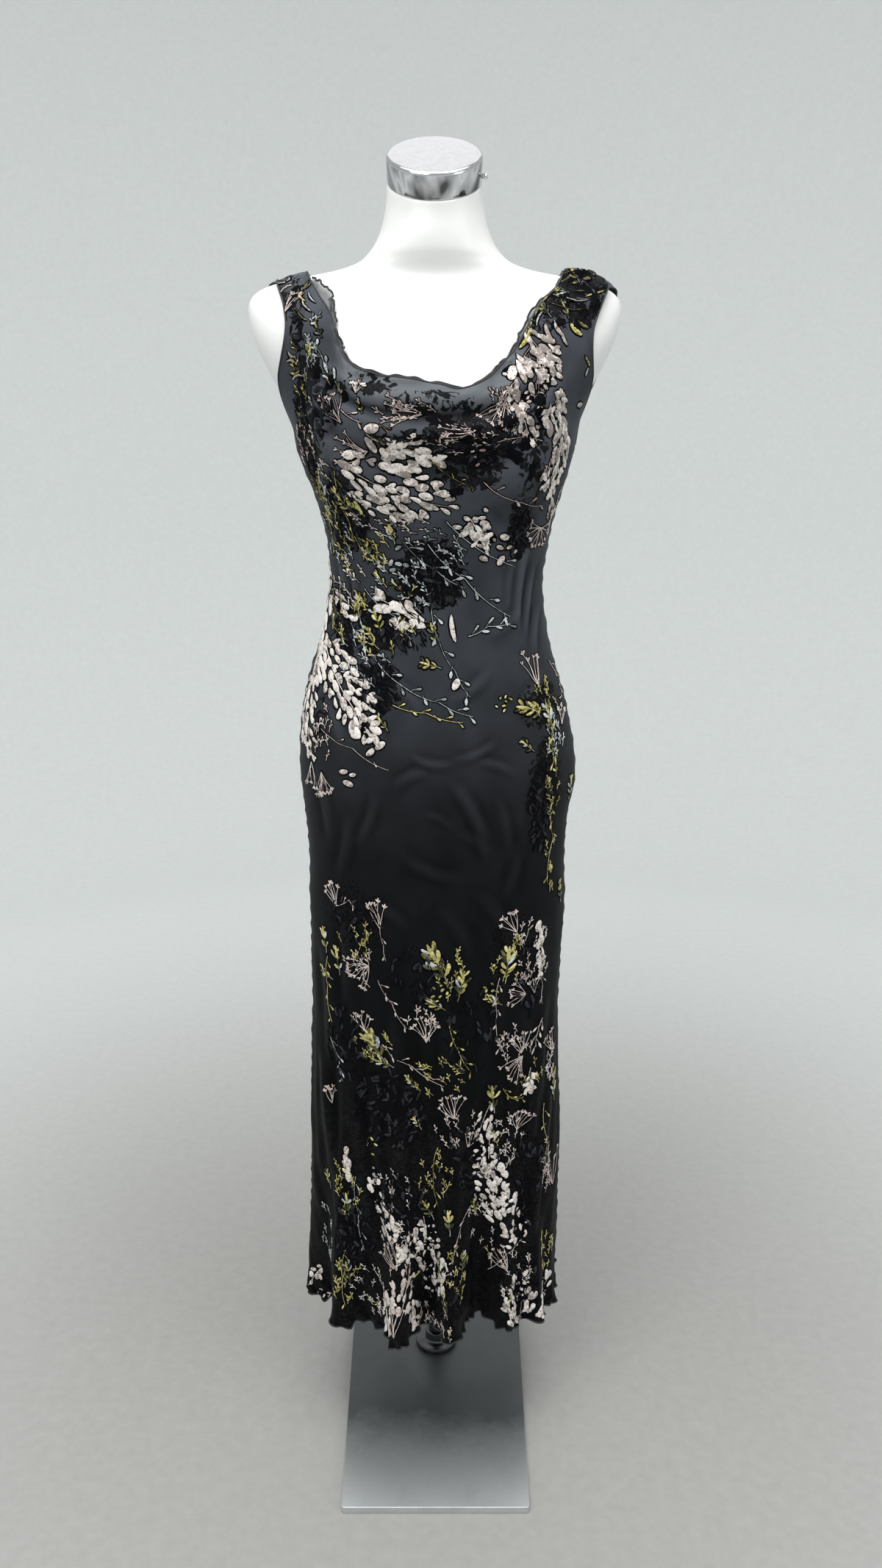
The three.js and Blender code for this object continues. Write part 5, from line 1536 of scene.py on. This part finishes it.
        (398, 518, 412, 512, 1.4, -0.2, "cream"), (440, 492, 446, 508, 1.8, 0.0, "ice"),
        (454, 500, 456, 516, 1.8, 0.0, "ice"), (462, 520, 460, 534, 1.6, 0.0, "olive"),
        (444, 512, 450, 524, 1.5, 0.0, "olive"), (416, 468, 424, 482, 1.8, 0.1, "olive"),
        (614, 836, 620, 874, 3.4, 0.05, "cream"), (556, 822, 580, 846, 3.2, 0.1, "cream"),
        (544, 818, 560, 842, 2.8, 0.1, "cream"), (482, 680, 494, 700, 3.6, 0.1, "olive"),
        (528, 712, 538, 726, 3.0, 0.1, "olive"), (470, 672, 480, 690, 2.4, 0.1, "olive"),
    ],
}
BACK_MOTIFS = {
    # Place across and up, angle, length and width
    "blots": [
        (-60, 1350, 160, 34, 14), (20, 1320, 30, 30, 12), (80, 1270, 110, 30, 12), (-100, 1200, 80, 30, 12),
        (40, 1120, 140, 28, 12), (146, 1440, 90, 24, 10), (-132, 1430, 90, 22, 9),
    ],
    # Place, half width and half height, angle and count
    "shadows": [
        (-60, 1330, 40, 26, 120, 70), (70, 1300, 30, 44, 100, 60), (10, 1190, 40, 40, 110, 70),
        (-70, 1120, 30, 50, 100, 70), (80, 1010, 30, 46, 92, 70), (-90, 900, 30, 60, 95, 70),
        (110, 800, 20, 60, 92, 50), (0, 600, 60, 50, 100, 110), (-90, 480, 40, 60, 95, 110),
        (80, 440, 40, 60, 95, 110), (0, 320, 70, 60, 90, 160), (-100, 260, 36, 50, 92, 90),
        (100, 260, 36, 50, 92, 90), (150, 1430, 16, 26, 92, 24), (-134, 1440, 12, 22, 92, 18),
    ],
    # Colour, buds to a stretch, size of a bud and the places that the stem runs through
    "twigs": [
        ("ice", 3, 9, (-60, 1270), (-20, 1230), (30, 1206)),
        ("ice", 3, 8, (90, 1240), (60, 1200), (34, 1150)),
        ("blush", 3, 6, (-100, 1160), (-70, 1130), (-34, 1110)),
        ("olive", 4, 6, (70, 1140), (90, 1090), (84, 1030)),
        ("ice", 3, 9, (-80, 980), (-50, 940), (-10, 920)), ("blush", 3, 5, (80, 960), (50, 930), (20, 920)),
        ("olive", 3, 7, (130, 960), (128, 900), (122, 840)),
        ("ice", 3, 8, (-126, 900), (-112, 850), (-80, 820)),
        ("blush", 3, 6, (40, 680), (20, 650), (14, 600)),
        ("olive", 4, 6, (-70, 560), (-40, 500), (-34, 440)), ("ice", 3, 8, (90, 560), (70, 500), (60, 440)),
        ("olive", 4, 6, (-130, 600), (-126, 520), (-128, 440)),
        ("blush", 3, 6, (-60, 420), (-30, 380), (-10, 330)),
        ("olive", 4, 6, (130, 620), (134, 540), (130, 460)), ("ice", 3, 7, (20, 340), (10, 290), (-8, 240)),
        ("olive", 3, 6, (76, 300), (86, 250), (90, 204)),
        ("blush", 3, 6, (130, 400), (124, 340), (110, 280)),
        ("ice", 3, 7, (-70, 320), (-80, 260), (-84, 206)),
        ("blush", 3, 6, (-10, 1370), (30, 1356), (66, 1362)),
        ("olive", 3, 6, (134, 1350), (126, 1300), (130, 1240)),
    ],
    # Place, angle, length and pairs of lobes
    "leaves": [
        (-14, 1352, 130, 24, 3), (86, 1330, 70, 24, 3), (-70, 1300, 110, 28, 3), (40, 1240, 150, 24, 3),
        (124, 1240, 96, 24, 3), (-40, 1220, 60, 26, 3), (80, 1180, 120, 22, 3), (-120, 1190, 90, 26, 3),
        (-6, 1100, 170, 30, 4), (-90, 1020, 110, 26, 3), (122, 1050, 90, 34, 4), (100, 940, 140, 24, 3),
        (-128, 960, 84, 26, 3), (126, 860, 96, 26, 3), (-116, 790, 100, 24, 3), (10, 640, 112, 44, 5),
        (36, 616, 70, 32, 4), (-84, 600, 100, 34, 4), (98, 590, 96, 34, 4), (-30, 520, 140, 28, 3),
        (70, 520, 60, 26, 3), (-120, 450, 100, 30, 3), (120, 440, 84, 30, 4), (0, 380, 120, 36, 4),
        (-56, 340, 70, 28, 3), (84, 320, 110, 30, 4), (-100, 260, 96, 28, 3), (20, 220, 80, 26, 3),
        (124, 230, 100, 26, 3), (-10, 250, 150, 24, 3), (140, 1400, 100, 20, 3), (-128, 1420, 80, 18, 2),
    ],
    # Base, angle, reach, spread, rays and colour
    "umbels": [
        (-40, 1340, 100, 34, 60, 6, "blush"), (52, 1296, 160, 36, 60, 7, "blush"),
        (-92, 1240, 80, 34, 50, 6, "blush"), (20, 1190, 250, 34, 90, 9, "blush"),
        (92, 1130, 110, 30, 60, 6, "cream"), (-58, 1068, 278, 30, 70, 8, "blush"),
        (112, 970, 100, 40, 50, 6, "blush"), (-112, 900, 96, 34, 60, 6, "blush"),
        (62, 640, 118, 30, 60, 6, "blush"), (-48, 652, 103, 34, 50, 6, "blush"),
        (6, 566, 212, 30, 86, 8, "blush"), (-104, 530, 100, 30, 80, 7, "blush"),
        (100, 486, 118, 28, 60, 6, "blush"), (-24, 440, 95, 30, 84, 8, "blush"),
        (58, 392, 150, 30, 80, 8, "cream"), (-92, 344, 100, 36, 60, 7, "blush"),
        (118, 306, 96, 40, 50, 6, "blush"), (0, 270, 112, 34, 90, 9, "blush"),
        (-62, 236, 90, 30, 80, 8, "cream"), (82, 226, 100, 30, 80, 8, "blush"),
        (-130, 700, 96, 30, 60, 6, "blush"), (136, 660, 84, 30, 60, 6, "blush"),
        (148, 1420, 80, 22, 60, 5, "blush"),
    ],
    # Base, tip, breadth, petals, size and colour
    "sprays": [
        (70, 1352, -30, 1290, 24, 30, 16, "cream"), (-104, 1330, -84, 1240, 17, 18, 14, "cream"),
        (104, 1290, 112, 1190, 17, 20, 14, "cream"), (-24, 1150, 58, 1082, 22, 30, 14, "cream"),
        (-112, 1080, -92, 960, 17, 24, 13, "cream"), (114, 900, 92, 800, 15, 18, 13, "cream"),
        (-134, 830, -122, 724, 12, 12, 12, "cream"), (-82, 474, -70, 380, 15, 20, 13, "cream"),
        (38, 336, 58, 232, 15, 22, 13, "cream"), (-34, 306, -22, 206, 13, 16, 13, "cream"),
        (110, 410, 100, 330, 10, 10, 12, "cream"), (-122, 290, -112, 206, 12, 12, 12, "cream"),
        (132, 560, 126, 480, 9, 9, 13, "cream"), (20, 500, 34, 430, 10, 9, 13, "cream"),
        (120, 1380, 132, 1440, 9, 6, 13, "cream"), (-112, 1400, -130, 1450, 8, 6, 12, "cream"),
    ],
    # Centre, radius, count, size and colour
    "pebbles": [
        (-30, 1250, 17, 8, 12, "cream"), (30, 1040, 18, 8, 12, "cream"), (-70, 930, 12, 5, 11, "cream"),
        (80, 770, 12, 5, 11, "cream"), (60, 600, 12, 8, 5, "olive"), (-60, 630, 11, 8, 5, "olive"),
        (30, 460, 12, 6, 8, "cream"), (-110, 400, 12, 7, 8, "cream"), (90, 260, 14, 8, 9, "cream"),
        (-40, 220, 14, 8, 9, "cream"), (-130, 240, 10, 6, 9, "cream"), (50, 250, 12, 6, 8, "ice"),
    ],
    # Centre, half width and half height, angle, count, size and colour
    "sprigs": [
        (-40, 1300, 50, 40, 120, 16, 9, "olive"), (60, 1240, 50, 40, 60, 16, 9, "olive"),
        (-70, 1120, 40, 50, 110, 14, 9, "ice"), (40, 1060, 50, 40, 130, 14, 9, "olive"),
        (110, 960, 24, 70, 95, 12, 8, "blush"), (-110, 940, 24, 70, 90, 12, 8, "olive"),
        (20, 600, 60, 30, 90, 14, 8, "olive"), (-80, 560, 40, 50, 100, 14, 8, "blush"),
        (90, 540, 40, 50, 95, 14, 8, "olive"), (0, 460, 60, 40, 110, 16, 8, "cream"),
        (-90, 400, 40, 50, 95, 14, 8, "olive"), (90, 380, 40, 50, 95, 14, 8, "blush"),
        (-10, 330, 60, 40, 100, 18, 8, "olive"), (-80, 250, 50, 40, 95, 18, 8, "cream"),
        (70, 250, 50, 40, 95, 18, 8, "blush"), (0, 230, 50, 30, 95, 14, 8, "olive"),
        (148, 1430, 14, 26, 95, 6, 8, "olive"), (-132, 1440, 12, 20, 95, 5, 8, "blush"),
    ],
    # Start, end, half width, bow and colour
    "strokes": [
        (140, 1452, 160, 1440, 2.4, 0.1, "olive"), (134, 1436, 156, 1424, 2.0, 0.1, "olive"),
        (138, 1416, 152, 1408, 1.6, 0.1, "cream"), (-126, 1450, -146, 1442, 1.8, 0.1, "blush"),
        (-122, 1430, -138, 1420, 1.6, 0.1, "cream"),
    ],
}

# Tonal velvet woven into the ground: centre, half width and half height, and how much it covers
FRONT_ZONES = [
    (640, 600, 62, 30, 0.9), (420, 560, 22, 78, 0.75), (470, 690, 34, 60, 0.8), (586, 780, 46, 46, 0.85),
    (707, 722, 20, 40, 0.8), (725, 610, 22, 80, 0.6), (500, 850, 56, 44, 0.8), (512, 934, 36, 36, 0.85),
    (740, 1090, 26, 86, 0.85), (735, 960, 34, 34, 0.6), (430, 940, 22, 90, 0.5), (800, 380, 40, 24, 0.7),
    (745, 420, 34, 34, 0.6), (396, 400, 22, 34, 0.6), (480, 1250, 48, 60, 0.7), (700, 1300, 40, 70, 0.7),
    (600, 1340, 34, 50, 0.6), (500, 520, 44, 16, 0.55), (590, 548, 60, 16, 0.5), (670, 560, 44, 14, 0.6),
    (400, 640, 20, 60, 0.6), (790, 400, 50, 40, 0.8), (640, 640, 50, 24, 0.7),
]
BACK_ZONES = [
    (-60, 1330, 60, 34, 0.7), (70, 1300, 40, 60, 0.7), (10, 1190, 60, 50, 0.6), (-70, 1120, 40, 70, 0.8),
    (80, 1010, 40, 60, 0.8), (-90, 900, 40, 80, 0.6), (110, 800, 30, 80, 0.7), (0, 700, 60, 60, 0.6),
]


def lay_motifs(velvet, motifs):
    """Lays one panel's motifs, the broad dark ones first."""
    for across, up, angle, length, width in motifs["blots"]:
        velvet.blot(velvet.place(across, up), angle, length * MM, width * MM)
    for across, up, half_width, half_height, angle, count in motifs["shadows"]:
        velvet.shadow(velvet.place(across, up), half_width * MM, half_height * MM, angle, count)
    for colour, buds, bud_size, *places in motifs["twigs"]:
        velvet.twig(colour, [velvet.place(*place) for place in places], buds, bud_size * MM)
    for across, up, angle, length, lobes in motifs["leaves"]:
        velvet.leaf(velvet.place(across, up), angle, length * MM, lobes)
    for across, up, angle, reach, spread, rays, colour in motifs["umbels"]:
        velvet.umbel(colour, velvet.place(across, up), angle, reach * MM, spread, rays)
    for x0, y0, x1, y1, breadth, petals, size, colour in motifs["sprays"]:
        velvet.spray(colour, velvet.place(x0, y0), velvet.place(x1, y1), breadth * MM, petals, size * MM)
    for across, up, radius, count, size, colour in motifs["pebbles"]:
        velvet.pebbles(colour, velvet.place(across, up), radius * MM, count, size * MM)
    for across, up, half_width, half_height, angle, count, size, colour in motifs["sprigs"]:
        centre = velvet.place(across, up)
        velvet.sprigs(colour, centre, half_width * MM, half_height * MM, angle, count, size * MM)
    for x0, y0, x1, y1, width, bow, colour in motifs["strokes"]:
        velvet.stroke(colour, velvet.place(x0, y0), velvet.place(x1, y1), width * MM, round_shape, bow)


# The stand: a plate a little narrower in front, and the turned parts of the pole with their fine edges
PLATE = {"front": -0.214, "back": 0.150, "half_front": 0.1185, "half_back": 0.126, "corner": 0.004,
         "top": 0.010, "edge": 0.0008}
POLE_Y = 0.078
POLE_SIDES = 96
SHARP_ANGLE = 38
CORNER_STEPS = 6
POLE_PROFILE = [
    (0, 0.0103), (0.011, 0.0103), (0.011, 0.7700), (0.0107, 0.7707), (0.010, 0.7710), (0, 0.7710),
]
FOOT_PROFILE = [
    (0.0113, 0.0103), (0.0294, 0.0103), (0.0300, 0.0109), (0.0300, 0.0160), (0.0297, 0.0168),
    (0.0290, 0.0173), (0.0196, 0.0173), (0.0180, 0.0177), (0.0167, 0.0188), (0.0161, 0.0204),
    (0.0160, 0.0220), (0.0160, 0.0313), (0.0157, 0.0320), (0.0150, 0.0323), (0.0113, 0.0323),
    (0.0113, 0.0103),
]
SOCKET_PROFILE = [
    (0.0113, 0.7380), (0.0145, 0.7380), (0.0150, 0.7385), (0.0150, 0.7645), (0.0154, 0.7654),
    (0.0163, 0.7657), (0.0186, 0.7657), (0.0190, 0.7661), (0.0190, 0.7717), (0.0113, 0.7717),
    (0.0113, 0.7380),
]


def turned_piece(name, profile, material):
    """A turned part on the pole's own axis."""
    verts, faces = lathe(profile, POLE_SIDES)
    piece = mesh_object(name, [(x, y + POLE_Y, z) for x, y, z in verts], faces, material)
    piece.data.set_sharp_from_angle(angle=math.radians(SHARP_ANGLE))
    return piece


def plate_piece(material):
    """The steel base plate with small round corners and a fine rounding along its edges."""
    corner, edge, top = PLATE["corner"], PLATE["edge"], PLATE["top"]
    front, back = PLATE["front"] + corner, PLATE["back"] - corner
    half_front, half_back = PLATE["half_front"] - corner, PLATE["half_back"] - corner
    centres = [(-half_front, front, 180), (half_front, front, 270), (half_back, back, 0),
               (-half_back, back, 90)]
    levels = [(edge, 0.0), (0.3 * edge, 0.3 * edge), (0.0, edge)]
    turns = np.linspace(0, math.pi / 2, 5)
    levels += [(edge * (1 - math.cos(turn)), top - edge * (1 - math.sin(turn))) for turn in turns]
    verts = []
    for inset, height in levels:
        for x, y, start in centres:
            for k in range(CORNER_STEPS + 1):
                angle = math.radians(start + 90 * k / CORNER_STEPS)
                reach = corner - inset
                verts.append((x + reach * math.cos(angle), y + reach * math.sin(angle), height))
    faces = ring_faces(len(levels), len(centres) * (CORNER_STEPS + 1))
    piece = mesh_object("base_plate_steel", verts, faces, material)
    piece.data.set_sharp_from_angle(angle=math.radians(SHARP_ANGLE))
    return piece


# Camera fitted to the photograph, and the size of its picture
CAMERA = {"place": (0.007, -1.400, 1.28), "pitch": 15.4, "lens": 27.04, "sensor": 36, "nearest": 0.05}
PICTURE = {"width": 1200, "height": 2133, "focal": 1602.0, "middle": 587}


def make_camera():
    """The photograph's own view."""
    data = bpy.data.cameras.new("camera")
    data.lens = CAMERA["lens"]
    data.sensor_width = CAMERA["sensor"]
    data.clip_start = CAMERA["nearest"]
    camera = bpy.data.objects.new("camera", data)
    camera.location = CAMERA["place"]
    camera.rotation_euler = (math.radians(90 - CAMERA["pitch"]), 0, 0)
    bpy.context.scene.collection.objects.link(camera)
    bpy.context.scene.camera = camera


# Place, aim, size, power and colour of the soft lights, and the even light around them
LIGHTS = {
    "key": ((-1.1, -1.9, 2.75), (0, 0, 1.15), (1.5, 1.1), 20, (1, 1, 1)),
    "fill": ((1.9, -1.4, 1.9), (0, 0, 0.9), (1.0, 1.6), 5, (0.96, 0.98, 1.0)),
    "top": ((0.0, -0.6, 3.0), (0, -0.1, 1.0), (1.9, 1.3), 44, (1, 1, 1)),
    "back": ((0.0, 1.3, 3.25), (0, 0, 1.6), (1.9, 1.3), 5.2, (1, 1, 1)),
}
WORLD_COLOUR = (0.96, 0.985, 1.0, 1)
WORLD_STRENGTH = 0.56


def area_light(name, place, aim, size, power, colour):
    data = bpy.data.lights.new(name, "AREA")
    data.shape = "RECTANGLE"
    data.size, data.size_y = size
    data.energy = power
    data.color = colour
    light = bpy.data.objects.new(name, data)
    light.location = place
    light.rotation_euler = (Vector(aim) - Vector(place)).to_track_quat("-Z", "Y").to_euler()
    light.visible_camera = False
    bpy.context.scene.collection.objects.link(light)


# Round sweep of floor and wall: radius, height and the radius of the cove between them
SWEEP = {"radius": 3.3, "height": 3.6, "cove": 1.1, "sides": 96}
# Floor and wall tones, and the distances from the stand over which the floor's painted shadow pool passes
# into the wall
FLOOR_TONES = [(0.3, (0.38, 0.372, 0.355)), (0.7, (0.42, 0.412, 0.395))]
WALL_TONES = [(0.3, (0.76, 0.78, 0.77)), (0.7, (0.80, 0.82, 0.81))]
PAINTED_POOL_TO_WALL = (0.3, 2.1)


def sweep_piece(material):
    """Floor and wall in one, joined by a cove."""
    radius, cove = SWEEP["radius"], SWEEP["cove"]
    profile = [(0.0, 0.0), (1.0, 0.0), (radius - cove, 0.0)]
    for k in range(1, 17):
        angle = math.pi / 2 * k / 16
        profile.append((radius - cove + cove * math.sin(angle), cove - cove * math.cos(angle)))
    profile.append((radius, SWEEP["height"]))
    verts, faces = lathe(profile, SWEEP["sides"])
    return mesh_object("studio_sweep", verts, [face[::-1] for face in faces], material)


def sweep_look(name):
    """A pale wall that passes into a darker floor, partly the floor's own tone and partly a painted shadow
    pool that is darkest near the stand.
    """
    look = Look(name)
    place = look.place()
    grain = look.noise(place, scale=60, detail=4.0, roughness=0.6)
    # Painted shadow pool: the floor is darkest near the stand and lightens outwards
    away = look.node("VectorMath", {0: place}, operation="LENGTH").outputs["Value"]
    inputs = {"Value": away, "From Min": PAINTED_POOL_TO_WALL[0], "From Max": PAINTED_POOL_TO_WALL[1]}
    rise = look.node("MapRange", inputs, interpolation_type="SMOOTHSTEP").outputs["Result"]
    floor, wall = look.ramp(grain, FLOOR_TONES), look.ramp(grain, WALL_TONES)
    look.set(Base_Color=look.blend(rise, floor, wall), Roughness=0.7)
    look.bump((grain, 0.05, 0.0005),)
    return look.material


def make_studio():
    """Even light all around, four soft lights and the sweep."""
    world = bpy.data.worlds.new("studio")
    world.use_nodes = True
    background = world.node_tree.nodes["Background"]
    background.inputs["Color"].default_value = WORLD_COLOUR
    background.inputs["Strength"].default_value = WORLD_STRENGTH
    bpy.context.scene.world = world
    for name, values in LIGHTS.items():
        area_light(name, *values)
    sweep_piece(sweep_look("sweep_pale"))
    view = bpy.context.scene.view_settings
    view.view_transform = "Standard"
    view.look = "None"


# The turned-over top of the cowl: its reach in u and the drop below the edge where it ends
BAND_REACH = (0.34, 0.5)
BAND_DROP = (0.020, 0.030)


def band_attribute(us, rows, level):
    """One on the turned-over top of the cowl, falling to nothing at its first fold."""
    drop = COWL_EDGE_HEIGHT + COWL_EDGE_RISE * us[None, :] ** 2 - rows[..., 2]
    middle = 1 - ease(np.abs(us), *BAND_REACH)
    return (1 - ease(drop, *BAND_DROP)) * middle[None, :] * (level[:, None] > 0)


# Tonal velvet at the skirt's foot: how much, and the heights between which it fades out; and the shares of a
# zone's reach between which it fades
FOOT_PILE = 0.86
FOOT_FADE = (0.36, 0.64)
ZONE_FADE = (0.55, 1.2)


def pile_attribute(velvet, rows, zones):
    """How much tonal velvet covers each point: most of the skirt's foot, and the stated zones above it."""
    pile = FOOT_PILE * (1 - ease(rows[..., 2], *FOOT_FADE))
    for across, up, half_width, half_height, amount in zones:
        centre = velvet.place(across, up)
        along = (rows[..., 0] - centre.x) / (half_width * MM)
        above = (rows[..., 2] - centre.z) / (half_height * MM)
        pile = np.maximum(pile, amount * (1 - ease(np.hypot(along, above), *ZONE_FADE)))
    return pile


# Radii of the rolled edges
HEM_ROLL = 0.0011
NECK_ROLL = 0.0010
ARMHOLE_ROLL = 0.0009
FACING_ROLL = 0.0012

# Each colour of velvet: its dark, middle and light tone, and where they differ its sheen and gloss
VELVET_TONES = {
    "cream": ((0.26, 0.22, 0.20), (0.73, 0.66, 0.61), (0.95, 0.885, 0.835)),
    "blush": ((0.27, 0.21, 0.195), (0.64, 0.53, 0.49), (0.82, 0.73, 0.68)),
    "olive": ((0.075, 0.067, 0.022), (0.45, 0.40, 0.125), (0.78, 0.71, 0.34)),
    "moss": ((0.008, 0.009, 0.005), (0.05, 0.05, 0.018), (0.20, 0.19, 0.07)),
    "ice": ((0.16, 0.18, 0.18), (0.46, 0.49, 0.485), (0.70, 0.735, 0.74)),
    "black": ((0.002, 0.002, 0.003), (0.003, 0.003, 0.004), (0.005, 0.005, 0.007), 0.0, 0.06),
    "rim": ((0.002, 0.002, 0.003), (0.003, 0.003, 0.004), (0.005, 0.005, 0.007), 0.0, 0.04),
    "shade": ((0.005, 0.005, 0.006), (0.016, 0.0165, 0.019), (0.040, 0.041, 0.047), 0.03, 0.1),
}


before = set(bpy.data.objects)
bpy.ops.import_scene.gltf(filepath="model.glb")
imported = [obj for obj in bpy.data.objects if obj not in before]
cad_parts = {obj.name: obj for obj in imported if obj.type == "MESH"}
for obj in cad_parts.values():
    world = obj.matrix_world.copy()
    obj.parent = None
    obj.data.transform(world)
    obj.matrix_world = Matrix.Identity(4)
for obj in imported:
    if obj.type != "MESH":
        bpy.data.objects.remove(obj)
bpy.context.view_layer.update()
make_camera()
make_studio()

CREPE = crepe_look("crepe_ground")
SHEER = sheer_look("chiffon")
THREAD = thread_look("rolled_edge_thread")
WHITE = form_look("form_white")
CHROME = chrome_look("chrome_polished")
SATIN_PAINTED_SHADE = satin_chrome_painted_shade_look("chrome_satin_painted_shade")
STEEL = steel_look("steel_satin")

front_us, front_plain, front_level = panel_grid(
    -1, FRONT_GRID, FRONT_FOLDS, FRONT_NECK, FRONT_REACH, 0.0)
back_us, back_plain, back_level = panel_grid(
    1, BACK_GRID, BACK_FOLDS, BACK_NECK, BACK_REACH, LOOSE_RIGHT_BACK)
front_rows, front_s, front_painted_shading = finish_panel(-1, front_us, front_plain, front_level, FRONT_CREASES, 3)
back_rows, back_s, back_painted_shading = finish_panel(1, back_us, back_plain, back_level, BACK_CREASES, 8)

velvet = Velvet([(front_rows, -1), (back_rows, 1)])
front = cloth_piece("gown_front_cloth", front_rows, front_s, -1, CREPE, {
    "sheer": band_attribute(front_us, front_rows, front_level),
    "pile": pile_attribute(velvet, front_rows, FRONT_ZONES),
    "painted_relief_shading": front_painted_shading,
})
velvet.panel = "back"
back = cloth_piece("gown_back_cloth", back_rows, back_s, 1, CREPE, {
    "sheer": np.zeros(back_rows.shape[:2]),
    "pile": pile_attribute(velvet, back_rows, BACK_ZONES),
    "painted_relief_shading": back_painted_shading,
})
facing, facing_top = facing_piece(front_us, front_rows, front_s, grid_normals(front_rows, -1), SHEER)

front_join = FRONT_GRID["skirt_rows"]
back_join = BACK_GRID["skirt_rows"]
neck_front = np.abs(front_us) <= STRAP_FROM
neck_back = np.abs(back_us) <= STRAP_FROM
hem_roll = rolled_edges("hem_rolled_edge", [front_rows[0], back_rows[0]], HEM_ROLL, THREAD)
neck_lines = [front_rows[-1, neck_front], back_rows[-1, neck_back]]
neck_roll = rolled_edges("neck_rolled_edge", neck_lines, NECK_ROLL, THREAD)
armhole_roll = rolled_edges("armhole_rolled_edges", [
    front_rows[front_join:, 0], front_rows[front_join:, -1],
    back_rows[back_join:, 0], back_rows[back_join:, -1],
], ARMHOLE_ROLL, THREAD)
facing_roll = rolled_edges("facing_rolled_edge", [facing_top], FACING_ROLL, THREAD)

VELVETS = {colour: pile_look(f"velvet_{colour}", *tones) for colour, tones in VELVET_TONES.items()}
velvet.panel = "front"
lay_motifs(velvet, FRONT_MOTIFS)
velvet.panel = "back"
lay_motifs(velvet, BACK_MOTIFS)
velvet_pieces = velvet.pieces(VELVETS)

form = form_piece(WHITE)
cap = cap_piece(CHROME, chrome_band_painted_reflection_look("chrome_band"))
screw = screw_piece(CHROME)
pole = turned_piece("pole_tube", POLE_PROFILE, SATIN_PAINTED_SHADE)
foot = turned_piece("pole_foot_flange", FOOT_PROFILE, SATIN_PAINTED_SHADE)
socket = turned_piece("pole_socket_ring", SOCKET_PROFILE, SATIN_PAINTED_SHADE)
plate = plate_piece(STEEL)
stand = (pole, foot, socket, plate)

for piece in (front, back, facing, hem_roll, neck_roll, armhole_roll, facing_roll, form, cap, screw, *stand,
              *velvet_pieces):
    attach(piece, "root")
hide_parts("gown_front")
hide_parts("gown_back")
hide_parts("cowl_facing")
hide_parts("form_torso")
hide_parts("neck_cap")
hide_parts("cap_screw")
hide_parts("pole")
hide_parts("pole_foot")
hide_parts("pole_socket")
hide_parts("base_plate")
